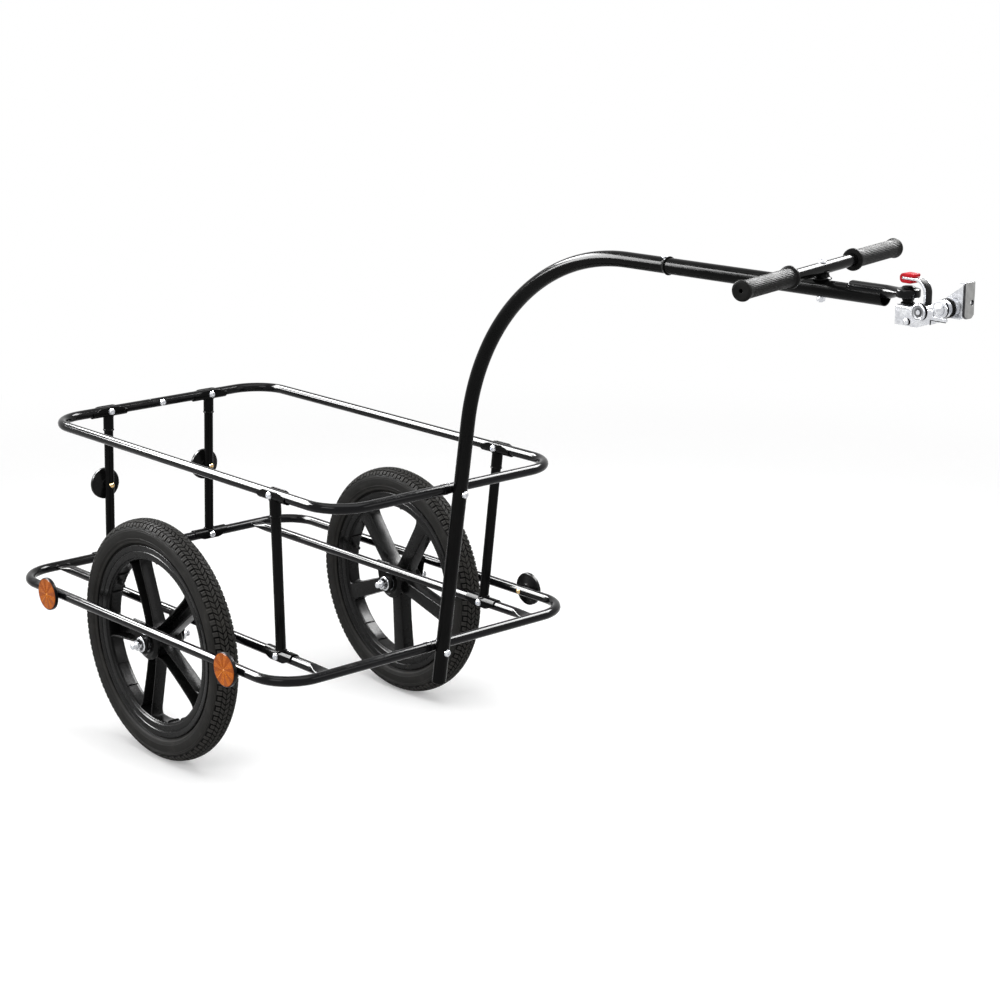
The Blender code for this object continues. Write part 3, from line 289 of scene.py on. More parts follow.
def bead(curve, radius, ripples):
    # a weld: a thin tube round a closed curve, whose radius swells with every ripple
    curve = np.asarray(curve, float)
    steps = unit(np.roll(curve, -1, 0) - curve)
    tangents = unit(steps + np.roll(steps, 1, 0))
    share = np.arange(len(curve)) / len(curve)
    reach = radius * (1 + weldSwell * np.abs(np.sin(math.pi * ripples * share)))
    spread = curve - curve.mean(0)
    across = unit(spread - np.einsum("ij,ij->i", spread, tangents)[:, None] * tangents)
    over = np.cross(tangents, across)
    ring = circleLine(weldSides)
    around = ring[None, :, :1] * across[:, None] + ring[None, :, 1:] * over[:, None]
    return sheet(curve[:, None] + reach[:, None, None] * around, wrapRows=True)


def seamBead(line, radius, ripples):
    # an open weld along a line: its radius swells with every ripple and draws in at both ends
    tangents = pathTangents(line)
    share = np.linspace(0, 1, len(line))
    swell = 1 + weldSwell * np.abs(np.sin(math.pi * ripples * share))
    closing = np.sqrt(np.clip(1 - (2 * share - 1) ** 8, 0.02, 1))
    reach = radius * swell * closing
    up = axisZ if abs(tangents[0] @ axisZ) < 0.9 else axisX
    return sheet(carried(circleLine(weldSides), line, tangents, up, np.stack([reach, reach], -1)))


def slab(outline, depth, bevel=0.0004, steps=3, paint=0):
    # a flat plate: the outline is drawn in towards its middle along a quarter round at both faces
    outline = np.asarray(outline, float)
    depth = np.asarray(depth, float)
    thick = np.linalg.norm(depth)
    way = depth / thick
    before, after = np.roll(outline, 1, 0), np.roll(outline, -1, 0)
    along = unit(unit(outline - before) + unit(after - outline))
    outward = np.cross(along, way)
    area = np.einsum("ij,j->", np.cross(outline - outline.mean(0), after - outline.mean(0)), way)
    outward = outward if area > 0 else -outward
    angle = np.linspace(0, math.pi / 2, steps + 1)
    inset = bevel * (1 - np.sin(angle))
    rise = bevel * (1 - np.cos(angle))
    rows = [outline - i * outward + r * way for i, r in zip(inset, rise)]
    rows += [outline - i * outward + (thick - r) * way for i, r in zip(inset[::-1], rise[::-1])]
    return sheet(np.stack(rows), caps="flat", paint=paint)


# Materials

def startMaterial(name):
    # a new material with its node tree and its main shader
    made = bpy.data.materials.new(name)
    made.use_nodes = True
    tree = made.node_tree
    return made, tree, tree.nodes["Principled BSDF"]


def addNode(tree, kind, settings=None, **values):
    # a node whose inputs get a number, a colour or a link from another socket
    node = tree.nodes.new(kind)
    for key, value in (settings or {}).items():
        setattr(node, key, value)
    for key, value in values.items():
        if isinstance(value, bpy.types.NodeSocket):
            tree.links.new(value, node.inputs[key.replace("_", " ")])
        else:
            node.inputs[key.replace("_", " ")].default_value = value
    return node


def ranged(tree, value, low, high, fromLow=0.35, fromHigh=0.65):
    # a value brought smoothly from one range to another
    node = addNode(tree, "ShaderNodeMapRange", {"interpolation_type": "SMOOTHSTEP"})
    tree.links.new(value, node.inputs["Value"])
    for key, number in (("From Min", fromLow), ("From Max", fromHigh), ("To Min", low), ("To Max", high)):
        node.inputs[key].default_value = number
    return node.outputs["Result"]


def mixedColour(tree, factor, first, second):
    # first and second blended by a factor, where each is a colour or a socket
    node = addNode(tree, "ShaderNodeMix", {"data_type": "RGBA"})
    tree.links.new(factor, node.inputs["Factor"])
    for socket, colour in ((node.inputs[6], first), (node.inputs[7], second)):
        if isinstance(colour, bpy.types.NodeSocket):
            tree.links.new(colour, socket)
        else:
            socket.default_value = (*colour, 1.0)
    return node.outputs[2]


def coating(name, look):
    # paint, plastic, rubber or metal: broad patches of tone, wandering roughness, fine grain as bump, and
    # painted shade where the mesh's shade attribute asks for it
    made, tree, shader = startMaterial(name)
    place = addNode(tree, "ShaderNodeTexCoord").outputs["Object"]
    broad = addNode(tree, "ShaderNodeTexNoise", Vector=place, Scale=look["patchScale"], Detail=4.0,
                    Roughness=0.55)
    fine = addNode(tree, "ShaderNodeTexNoise", Vector=place, Scale=look["grainScale"], Detail=3.0,
                   Roughness=0.6)
    smudge = addNode(tree, "ShaderNodeTexNoise", Vector=place, Scale=look["smudgeScale"], Detail=5.0,
                     Roughness=0.62)
    tone = mixedColour(tree, ranged(tree, broad.outputs["Fac"], 0.0, 1.0), look["colour"],
                       look["patchColour"])
    tone = mixedColour(tree, ranged(tree, fine.outputs["Fac"], 0.0, 0.25, 0.52, 0.72), tone,
                       look["speckColour"])
    # painted shade: where a piece's shade attribute is high, its colour turns to a dark shade colour
    if "paintedShade" in look:
        shade = addNode(tree, "ShaderNodeAttribute", {"attribute_name": "shade"}).outputs["Fac"]
        tone = mixedColour(tree, ranged(tree, shade, 0.0, 1.0, 0.0, 1.0), tone, look["paintedShade"])
    tree.links.new(tone, shader.inputs["Base Color"])
    low, high = look["roughness"]
    tree.links.new(ranged(tree, smudge.outputs["Fac"], low, high, 0.3, 0.7), shader.inputs["Roughness"])
    shader.inputs["Metallic"].default_value = look.get("metallic", 0.0)
    shader.inputs["Specular IOR Level"].default_value = look.get("specular", 0.5)
    bump = addNode(tree, "ShaderNodeBump", Strength=look["grain"], Distance=look["grainDepth"])
    tree.links.new(fine.outputs["Fac"], bump.inputs["Height"])
    wave = addNode(tree, "ShaderNodeBump", Strength=look.get("wave", 0.2),
                   Distance=look.get("waveDepth", 0.0004))
    tree.links.new(smudge.outputs["Fac"], wave.inputs["Height"])
    tree.links.new(bump.outputs["Normal"], wave.inputs["Normal"])
    tree.links.new(wave.outputs["Normal"], shader.inputs["Normal"])
    made.diffuse_color = (*look["colour"], 1.0)
    return made


glossBlack = coating("glossBlackPaint", {
    "colour": (0.0025, 0.0025, 0.003), "patchColour": (0.004, 0.004, 0.0045),
    "speckColour": (0.007, 0.007, 0.0075), "patchScale": 9.0, "grainScale": 900.0, "smudgeScale": 46.0,
    "roughness": (0.08, 0.16), "specular": 0.11, "grain": 0.06, "grainDepth": 0.00005, "wave": 0.08,
    "waveDepth": 0.0003})
satinBlack = coating("satinBlackPaint", {
    "colour": (0.0025, 0.0025, 0.0025), "patchColour": (0.004, 0.004, 0.004),
    "speckColour": (0.007, 0.007, 0.007), "patchScale": 7.0, "grainScale": 1300.0, "smudgeScale": 38.0,
    "roughness": (0.11, 0.19), "specular": 0.04, "grain": 0.08, "grainDepth": 0.00005, "wave": 0.08,
    "waveDepth": 0.0003})
nylonBlack = coating("mouldedNylon", {
    "colour": (0.003, 0.003, 0.003), "patchColour": (0.005, 0.005, 0.005),
    "speckColour": (0.009, 0.009, 0.009), "patchScale": 12.0, "grainScale": 1500.0, "smudgeScale": 30.0,
    "roughness": (0.20, 0.32), "specular": 0.10, "grain": 0.15, "grainDepth": 0.00006, "wave": 0.12,
    "waveDepth": 0.0005})
# the zinc and the flange's steel carry a dark colour for painted shade, which the shade attribute mixes in
zincPlate = coating("zincPlate", {
    "colour": (0.66, 0.67, 0.69), "patchColour": (0.56, 0.57, 0.60), "speckColour": (0.78, 0.79, 0.80),
    "patchScale": 110.0, "grainScale": 1700.0, "smudgeScale": 150.0, "roughness": (0.14, 0.30),
    "metallic": 1.0, "grain": 0.12, "grainDepth": 0.00005, "wave": 0.12, "waveDepth": 0.0002,
    "paintedShade": (0.030, 0.031, 0.034)})
# a darker copy of the bracket's steel: painted shade for the flange, whose face is turned from the light
shadedFlangeSteel = coating("shadedFlangeSteel", {
    "colour": (0.33, 0.33, 0.325), "patchColour": (0.27, 0.27, 0.265), "speckColour": (0.42, 0.42, 0.42),
    "patchScale": 120.0, "grainScale": 1500.0, "smudgeScale": 130.0, "roughness": (0.26, 0.42),
    "metallic": 1.0, "grain": 0.15, "grainDepth": 0.00006, "paintedShade": (0.020, 0.020, 0.022)})
bearingSteel = coating("bearingSteel", {
    "colour": (0.40, 0.41, 0.42), "patchColour": (0.30, 0.31, 0.32), "speckColour": (0.52, 0.53, 0.54),
    "patchScale": 160.0, "grainScale": 1400.0, "smudgeScale": 160.0, "roughness": (0.22, 0.42),
    "metallic": 1.0, "grain": 0.15, "grainDepth": 0.00005})
redSleeve = coating("redSleevePlastic", {
    "colour": (0.44, 0.010, 0.018), "patchColour": (0.36, 0.007, 0.014),
    "speckColour": (0.54, 0.03, 0.04), "patchScale": 90.0, "grainScale": 1500.0, "smudgeScale": 120.0,
    "roughness": (0.36, 0.52), "specular": 0.03, "grain": 0.18, "grainDepth": 0.00006})
washerRubber = coating("washerRubber", {
    "colour": (0.004, 0.004, 0.004), "patchColour": (0.007, 0.007, 0.007),
    "speckColour": (0.012, 0.012, 0.012), "patchScale": 80.0, "grainScale": 1400.0, "smudgeScale": 140.0,
    "roughness": (0.50, 0.70), "specular": 0.06, "grain": 0.35, "grainDepth": 0.00010})


def treadRubber(name, look):
    # rubber whose grooves are darkened as painted shade, so the raised tread reads paler; the mesh carries
    # the height as an attribute
    made, tree, shader = startMaterial(name)
    place = addNode(tree, "ShaderNodeTexCoord").outputs["Object"]
    height = addNode(tree, "ShaderNodeAttribute", {"attribute_name": "tread"}).outputs["Fac"]
    fine = addNode(tree, "ShaderNodeTexNoise", Vector=place, Scale=look["grainScale"], Detail=4.0,
                   Roughness=0.6)
    dust = addNode(tree, "ShaderNodeTexNoise", Vector=place, Scale=look["dustScale"], Detail=5.0,
                   Roughness=0.65)
    # painted shade: the lower the rubber stands, the nearer its colour comes to the near-black groove
    # colour
    tone = mixedColour(tree, ranged(tree, height, 0.0, 1.0, 0.05, 0.95), look["shadedGroove"], look["crest"])
    tone = mixedColour(tree, ranged(tree, dust.outputs["Fac"], 0.0, 0.35, 0.48, 0.72), tone, look["dust"])
    tree.links.new(tone, shader.inputs["Base Color"])
    tree.links.new(ranged(tree, dust.outputs["Fac"], *look["roughness"], 0.3, 0.7),
                   shader.inputs["Roughness"])
    shader.inputs["Specular IOR Level"].default_value = look["specular"]
    bump = addNode(tree, "ShaderNodeBump", Strength=look["grain"], Distance=look["grainDepth"])
    tree.links.new(fine.outputs["Fac"], bump.inputs["Height"])
    tree.links.new(bump.outputs["Normal"], shader.inputs["Normal"])
    made.diffuse_color = (*look["crest"], 1.0)
    return made


tyreRubber = treadRubber("tyreRubber", {
    "shadedGroove": (0.0012, 0.0012, 0.0012), "crest": (0.034, 0.033, 0.031), "dust": (0.046, 0.044, 0.040),
    "grainScale": 1100.0, "dustScale": 26.0, "roughness": (0.48, 0.70), "specular": 0.035, "grain": 0.35,
    "grainDepth": 0.00012})


def lensPlastic(name, look):
    # clear coloured plastic over prisms: small cells tilt the surface, and between them it is deeper
    made, tree, shader = startMaterial(name)
    place = addNode(tree, "ShaderNodeTexCoord").outputs["Object"]
    cells = addNode(tree, "ShaderNodeTexVoronoi", {"feature": "F1"}, Vector=place, Scale=look["cellScale"])
    tint = addNode(tree, "ShaderNodeTexNoise", Vector=place, Scale=look["tintScale"], Detail=2.0)
    facet = addNode(tree, "ShaderNodeAttribute", {"attribute_name": "facet"}).outputs["Fac"]
    tone = mixedColour(tree, ranged(tree, cells.outputs["Distance"], 0.0, 1.0, 0.10, 0.62),
                       look["bright"], look["deep"])
    tone = mixedColour(tree, ranged(tree, tint.outputs["Fac"], 0.0, 0.4), tone, look["deep"])
    # painted light: where the facet tag is high a highlight colour is painted, where it is low painted
    # shade
    tone = mixedColour(tree, ranged(tree, facet, 0.0, 1.0, 0.5, 1.0), tone, look["paintedGlint"])
    tone = mixedColour(tree, ranged(tree, facet, 0.85, 0.0, 0.0, 0.5), tone, look["dark"])
    tree.links.new(tone, shader.inputs["Base Color"])
    tree.links.new(ranged(tree, tint.outputs["Fac"], 0.12, 0.24), shader.inputs["Roughness"])
    shader.inputs["Specular IOR Level"].default_value = look["specular"]
    bump = addNode(tree, "ShaderNodeBump", Strength=look["tilt"], Distance=0.0004)
    tree.links.new(cells.outputs["Distance"], bump.inputs["Height"])
    tree.links.new(bump.outputs["Normal"], shader.inputs["Normal"])
    made.diffuse_color = (*look["bright"], 1.0)
    return made


amberLens = lensPlastic("amberReflectorLens", {
    "bright": (0.66, 0.185, 0.008), "deep": (0.40, 0.085, 0.003), "paintedGlint": (0.86, 0.36, 0.05),
    "dark": (0.20, 0.036, 0.002), "cellScale": 620.0, "tintScale": 260.0, "tilt": 0.3, "specular": 0.10})
redLens = lensPlastic("redReflectorLens", {
    "bright": (0.52, 0.012, 0.010), "deep": (0.30, 0.005, 0.005), "paintedGlint": (0.72, 0.05, 0.035),
    "dark": (0.12, 0.002, 0.002), "cellScale": 620.0, "tintScale": 260.0, "tilt": 0.3, "specular": 0.10})
brassScrew = coating("brassScrew", {
    "colour": (0.72, 0.52, 0.26), "patchColour": (0.60, 0.42, 0.20), "speckColour": (0.84, 0.66, 0.38),
    "patchScale": 140.0, "grainScale": 1500.0, "smudgeScale": 170.0, "roughness": (0.22, 0.38),
    "metallic": 1.0, "grain": 0.18, "grainDepth": 0.00005})
gripRubber = coating("gripRubber", {
    "colour": (0.006, 0.006, 0.0058), "patchColour": (0.009, 0.009, 0.0086),
    "speckColour": (0.018, 0.018, 0.017), "patchScale": 30.0, "grainScale": 1000.0, "smudgeScale": 60.0,
    "roughness": (0.34, 0.48), "specular": 0.04, "grain": 0.35, "grainDepth": 0.00012, "wave": 0.15,
    "waveDepth": 0.0004})
print("materials ready")


# Studio: world, floor, camera and lamps

studio = {
    "cameraPlace": (2.5332, -2.2016, 1.3915), "cameraWay": (-0.72226, 0.64095, -0.25985), "focal": 83.37,
    "worldLight": 0.50, "floorColour": 0.80, "floorLift": 0.25, "floorRadius": (1.5, 3.2)}


def lightPathMask(tree):
    # one where a ray comes from the camera, a reflection or a transmission
    rays = tree.nodes.new("ShaderNodeLightPath")
    first = addNode(tree, "ShaderNodeMath", {"operation": "MAXIMUM"})
    tree.links.new(rays.outputs["Is Camera Ray"], first.inputs[0])
    tree.links.new(rays.outputs["Is Glossy Ray"], first.inputs[1])
    second = addNode(tree, "ShaderNodeMath", {"operation": "MAXIMUM"})
    tree.links.new(first.outputs[0], second.inputs[0])
    tree.links.new(rays.outputs["Is Transmission Ray"], second.inputs[1])
    return second.outputs[0]


def buildWorld():
    # plain white to the camera and in reflections, a soft grey light on the object
    world = bpy.data.worlds.new("studioWorld")
    world.use_nodes = True
    tree = world.node_tree
    tree.nodes.clear()
    seen = addNode(tree, "ShaderNodeBackground", Color=(1, 1, 1, 1), Strength=1.0)
    light = addNode(tree, "ShaderNodeBackground", Color=(1, 1, 1, 1), Strength=studio["worldLight"])
    mix = tree.nodes.new("ShaderNodeMixShader")
    tree.links.new(lightPathMask(tree), mix.inputs[0])
    tree.links.new(light.outputs[0], mix.inputs[1])
    tree.links.new(seen.outputs[0], mix.inputs[2])
    output = tree.nodes.new("ShaderNodeOutputWorld")
    tree.links.new(mix.outputs[0], output.inputs[0])
    bpy.context.scene.world = world


def buildFloor():
    # near the trailer a lit pale surface that keeps its shadow; further out it fades to plain white
    made = bpy.data.materials.new("paleFloor")
    made.use_nodes = True
    tree = made.node_tree
    tree.nodes.clear()
    place = addNode(tree, "ShaderNodeTexCoord").outputs["Object"]
    grain = addNode(tree, "ShaderNodeTexNoise", Vector=place, Scale=2.5, Detail=3.0)
    tone = mixedColour(tree, grain.outputs["Fac"], (studio["floorColour"],) * 3,
                       (studio["floorColour"] + 0.02,) * 3)
    matt = tree.nodes.new("ShaderNodeBsdfDiffuse")
    tree.links.new(tone, matt.inputs["Color"])
    rays = tree.nodes.new("ShaderNodeLightPath")
    lift = addNode(tree, "ShaderNodeMath", {"operation": "MULTIPLY"})
    tree.links.new(rays.outputs["Is Camera Ray"], lift.inputs[0])
    lift.inputs[1].default_value = studio["floorLift"]
    glow = addNode(tree, "ShaderNodeEmission", Color=(1, 1, 1, 1))
    tree.links.new(lift.outputs[0], glow.inputs["Strength"])
    near = tree.nodes.new("ShaderNodeAddShader")
    tree.links.new(matt.outputs[0], near.inputs[0])
    tree.links.new(glow.outputs[0], near.inputs[1])
    far = addNode(tree, "ShaderNodeEmission", Color=(1, 1, 1, 1), Strength=1.0)
    length = addNode(tree, "ShaderNodeVectorMath", {"operation": "LENGTH"})
    tree.links.new(place, length.inputs[0])
    fade = ranged(tree, length.outputs["Value"], 0.0, 1.0, *studio["floorRadius"])
    mix = tree.nodes.new("ShaderNodeMixShader")
    tree.links.new(fade, mix.inputs[0])
    tree.links.new(near.outputs[0], mix.inputs[1])
    tree.links.new(far.outputs[0], mix.inputs[2])
    output = tree.nodes.new("ShaderNodeOutputMaterial")
    tree.links.new(mix.outputs[0], output.inputs[0])
    reach = np.linspace(-24.0, 24.0, 9)
    x, y = np.meshgrid(reach, reach, indexing="ij")
    mesh = bpy.data.meshes.new("studioFloor")
    points = np.stack([x, y, np.full(x.shape, -0.0006)], -1).reshape(-1, 3)
    mesh.from_pydata(points.tolist(), [], lattice(9, 9)[:, ::-1].tolist())
    mesh.materials.append(made)
    floor = bpy.data.objects.new("studioFloor", mesh)
    bpy.context.scene.collection.objects.link(floor)


def addLamp(name, place, target, size, power, onlyReflected=False):
    # an oblong lamp turned to its target; a reflected one adds shine and no light
    lamp = bpy.data.lights.new(name, "AREA")
    lamp.shape = "RECTANGLE"
    lamp.size, lamp.size_y = size
    lamp.energy = power
    made = bpy.data.objects.new(name, lamp)
    made.location = place
    made.rotation_euler = (Vector(target) - Vector(place)).to_track_quat("-Z", "Y").to_euler()
    made.visible_diffuse = not onlyReflected
    made.visible_camera = False
    bpy.context.scene.collection.objects.link(made)


def buildCamera():
    # the camera stands and looks as in the photo
    lens = bpy.data.cameras.new("studioCamera")
    lens.lens = studio["focal"]
    lens.sensor_width = 36.0
    lens.clip_end = 100.0
    made = bpy.data.objects.new("studioCamera", lens)
    made.location = studio["cameraPlace"]
    made.rotation_euler = Vector(studio["cameraWay"]).to_track_quat("-Z", "Y").to_euler()
    bpy.context.scene.collection.objects.link(made)
    bpy.context.scene.camera = made


buildWorld()
buildFloor()
buildCamera()
bpy.context.scene.view_settings.view_transform = "Standard"
addLamp("overheadSoftbox", (0.2, -0.2, 3.2), (0.0, 0.0, 0.3), (3.4, 2.4), 88.0)
addLamp("keySoftbox", (0.6, -3.2, 2.4), (0.0, 0.0, 0.4), (1.8, 1.2), 46.0)
addLamp("fillSoftbox", (3.2, 1.6, 1.8), (0.0, 0.0, 0.4), (1.6, 1.2), 20.0)
# panels that only reflections see: they draw the light stripes along the black tubes
addLamp("rearPanel", (-2.80, -1.03, 2.59), (0.0, 0.0, 0.4), (3.1, 0.95), 740.0, True)
addLamp("nearPanel", (-2.8, -2.1, 1.75), (0.0, -0.2, 0.6), (1.5, 0.9), 340.0, True)
addLamp("leftPanel", (0.1, 2.6, 2.85), (0.0, 0.0, 0.4), (2.0, 1.2), 400.0, True)
print("studio ready")


# Frame tubes

tubes = {
    "radius": 0.008, "corner": {"top": 0.063, "lower": 0.065}, "seams": (-0.020, -0.010),
    "top": {"rear": -0.362, "front": 0.435, "half": 0.224, "z": 0.496},
    "lower": {"rear": -0.375, "front": 0.391, "half": 0.295, "z": 0.233},
    "collarLength": 0.009, "collarRadius": 0.00865, "arcSteps": 14}


def ringHalfLine(level, side):
    # the centre line of a ring's half, from the rear seam round two corners to the front seam
    ring, corner = tubes[level], tubes["corner"][level]
    rear, front = (seam if side < 0 else seam + seatGap for seam in tubes["seams"])
    corners = [at(ring["rear"], rear, ring["z"]), at(ring["rear"], side * ring["half"], ring["z"]),
               at(ring["front"], side * ring["half"], ring["z"]), at(ring["front"], front, ring["z"])]
    return rounded(corners, corner, tubes["arcSteps"])


def buildRings():
    # two halves a ring; the near half also carries the spigots inside the seams and the collar beside one
    for level in ("top", "lower"):
        ring = tubes[level]
        for name, side in sides.items():
            line = ringHalfLine(level, side)
            shells = [tubeShell(line, tubes["radius"], depth=0.02)]
            if side < 0:
                for x in (ring["rear"], ring["front"]):
                    seam = tubes["seams"][0 if x < 0 else 1]
                    inner = [at(x, seam - 0.01, ring["z"]), at(x, seam + 0.02, ring["z"])]
                    shells.append(tubeShell(inner, 0.0062, openEnds=(False, True), wall=0.0013, depth=0.01))
                start = at(ring["front"], tubes["seams"][1] - tubes["collarLength"] - 0.0006, ring["z"])
                collar = [(tubes["radius"] - 0.0004, 0), (tubes["collarRadius"], 0.0005),
                          (tubes["collarRadius"], tubes["collarLength"] - 0.0005),
                          (tubes["radius"] - 0.0004, tubes["collarLength"])]
                shells.append(revolved(collar, start, axisY, 32))
            makePiece(level + "Ring" + name.title(), shells, glossBlack, "frame",
                      (level + "_ring_" + name,))


rails = {"half": 0.207, "z": 0.233, "flat": (0.0125, 0.0029), "flatLength": 0.008, "taper": 0.036,
         "steps": 12}


def superLine(count, power):
    # a superellipse: cosine and sine raised to two over the power, with their signs kept
    angle = tau * np.arange(count) / count
    c, s = np.cos(angle), np.sin(angle)
    return np.stack([np.sign(c) * np.abs(c) ** (2 / power), np.sign(s) * np.abs(s) ** (2 / power)], -1)


def buildRails():
    # a round tube whose section eases to a flat superellipse at both ends, with a weld round each
    rear = tubes["lower"]["rear"] + tubes["radius"] + seatGap
    front = tubes["lower"]["front"] - tubes["radius"] - seatGap
    share = np.linspace(0, 1, rails["steps"] + 1)
    ease = share * share * (3 - 2 * share)
    press = np.concatenate([[0.0, 0.0], ease, [1.0]])
    length = rails["taper"] - rails["flatLength"]
    offsets = np.concatenate([[0.0, rails["flatLength"] * 0.5], rails["flatLength"] + share * length,
                              [0.06]])
    wide = rails["flat"][0] + (tubes["radius"] - rails["flat"][0]) * press
    high = rails["flat"][1] + (tubes["radius"] - rails["flat"][1]) * press
    power = 3.6 - 1.6 * press
    x = np.concatenate([rear + offsets, (front - offsets)[::-1]])
    wide, high, power = (np.concatenate([v, v[::-1]]) for v in (wide, high, power))
    for name, side in sides.items():
        path = np.stack([x, np.full(len(x), side * rails["half"]), np.full(len(x), rails["z"])], -1)
        section = np.stack([superLine(32, p) * np.array([w, h]) for p, w, h in zip(power, wide, high)])
        grid = carried(section, path, np.broadcast_to(axisX, path.shape), axisZ)
        shells = [sheet(grid)]
        for end, way in ((rear, 1.0), (front, -1.0)):
            loop = superLine(48, 3.6) * np.array([rails["flat"][0] + 0.0004, rails["flat"][1] + 0.0006])
            curve = np.stack([np.full(48, end + 0.0010 * way), side * rails["half"] + loop[:, 0],
                              rails["z"] + loop[:, 1]], -1)
            shells.append(bead(curve, 0.0013, 18))
        makePiece("innerRail" + name.title(), shells, glossBlack, "frame", ("inner_rail_" + name,))


buildRings()
buildRails()
print("rings and rails ready")


# Uprights with pressed saddles

uprights = {
    "rearOffset": 0.105, "frontTop": 0.288, "frontFoot": 0.270, "length": 0.069, "fullLength": 0.028,
    "wall": 0.0020, "lip": 0.0075, "endLip": 0.0010, "stations": 26, "neck": 0.0262, "neckWall": 0.0010}


def uprightEnds(end, side):
    # the points on the lower and the top tube that an upright joins
    top, lower = tubes["top"], tubes["lower"]
    if end == "rear":
        y = side * uprights["rearOffset"]
        return at(lower["rear"], y, lower["z"]), at(top["rear"], y, top["z"])
    foot = at(uprights["frontFoot"], side * rails["half"], rails["z"])
    return foot, at(uprights["frontTop"], side * top["half"], top["z"])


def saddleShell(centre, along, crown):
    # a half round pressed over a tube; its cheeks are deepest in the middle and run out towards the ends
    sideways = np.cross(along, crown)
    inner, outer = tubes["radius"] + seatGap, tubes["radius"] + seatGap + uprights["wall"]
    half, full = uprights["length"] / 2, uprights["fullLength"] / 2
    share = np.linspace(-1, 1, uprights["stations"])
    reach = np.concatenate([[-1.0], share * (1 - 0.0006 / half), [1.0]]) * half
    shrink = np.concatenate([[0.0006], np.zeros(len(share)), [0.0006]])
    ease = np.clip((half - np.abs(reach)) / (half - full), 0, 1)
    ease = ease * ease * (3 - 2 * ease)
    lip = uprights["endLip"] + (uprights["lip"] - uprights["endLip"]) * ease
    turn = np.linspace(0, math.pi, 19)
    rows = []
    for shiftAlong, depth, less in zip(reach, lip, shrink):
        out, into = outer - less, inner + less
        lowerEdge = np.array([[out - 0.0005, -depth], [out, -depth + 0.0005]])
        arc = np.stack([out * np.cos(turn), out * np.sin(turn)], -1)
        farEdge = lowerEdge[::-1] * np.array([-1, 1])
        back = np.stack([into * np.cos(turn[::-1]), into * np.sin(turn[::-1])], -1)
        innerEdge = np.array([[-into, -depth + 0.0004], [-into - 0.0004, -depth]])
        innerFar = innerEdge[::-1] * np.array([-1, 1])
        section = np.concatenate([lowerEdge, arc, farEdge, innerEdge[::-1], back, innerFar[::-1]])
        rows.append(centre + shiftAlong * along + section[:, :1] * sideways + section[:, 1:] * crown)
    return sheet(np.stack(rows), caps="flat")


def copeCurve(centre, along, crown, reach, pipe, run):
    # where a pipe meets a round saddle: the saddle's height over the pipe's own circle
    sideways = np.cross(along, crown)
    angle = tau * np.arange(40) / 40
    flat = pipe * (np.cos(angle)[:, None] * along + np.sin(angle)[:, None] * sideways)
    rise = np.sqrt(reach ** 2 - (pipe * np.sin(angle)) ** 2)
    return centre + flat + rise[:, None] * (run * np.sign(run @ crown)) / abs(run @ crown)


def buildUprights():
    # each is a tube with a pressed saddle and a weld at both ends, and a drawn neck under the upper one
    for end in ("rear", "front"):
        along = axisY if end == "rear" else axisX
        for name, side in sides.items():
            foot, top = uprightEnds(end, side)
            run = unit(top - foot)
            clear = tubes["radius"] + seatGap + 0.0006
            path = np.linspace(foot + clear * run, top - clear * run, 2)
            shells = [tubeShell(path, tubes["radius"], up=along, openEnds=(False, False))]
            outer = tubes["radius"] + seatGap + uprights["wall"]
            # the upper saddle's drawn neck slips over the tube and ends in a rolled edge
            r, wall, neck = tubes["radius"], uprights["neckWall"], uprights["neck"]
            profile = rounded([(r - 0.0004, -neck), (r + wall + 0.0007, -neck),
                               (r + wall + 0.0007, 0.0018 - neck), (r + wall, 0.0026 - neck),
                               (r + wall, 0.0010), (r - 0.0004, 0.0010)],
                              [0.0002, 0.0006, 0.0006, 0.0005, 0.0003, 0.0002], 3, closed=True)
            shells.append(revolved(profile, top - clear * run, run, 40, loop=True))
            for centre, crown in ((foot, axisZ), (top, -axisZ)):
                shells.append(saddleShell(centre, along, crown))
                curve = copeCurve(centre, along, crown, outer + 0.0003, tubes["radius"] + 0.0003, run)
                shells.append(bead(curve, 0.0015, 16))
            makePiece("upright" + end.title() + name.title(), shells, satinBlack, "frame",
                      ("upright_" + end + "_" + name,))


buildUprights()
print("uprights ready")


# Bolts

bolts = {
    "radius": 0.003, "headRadius": 0.0055, "headHeight": 0.0040, "nutRadius": 0.0052, "nutHeight": 0.0050,
    "socket": 0.0020, "washer": 0.0008}


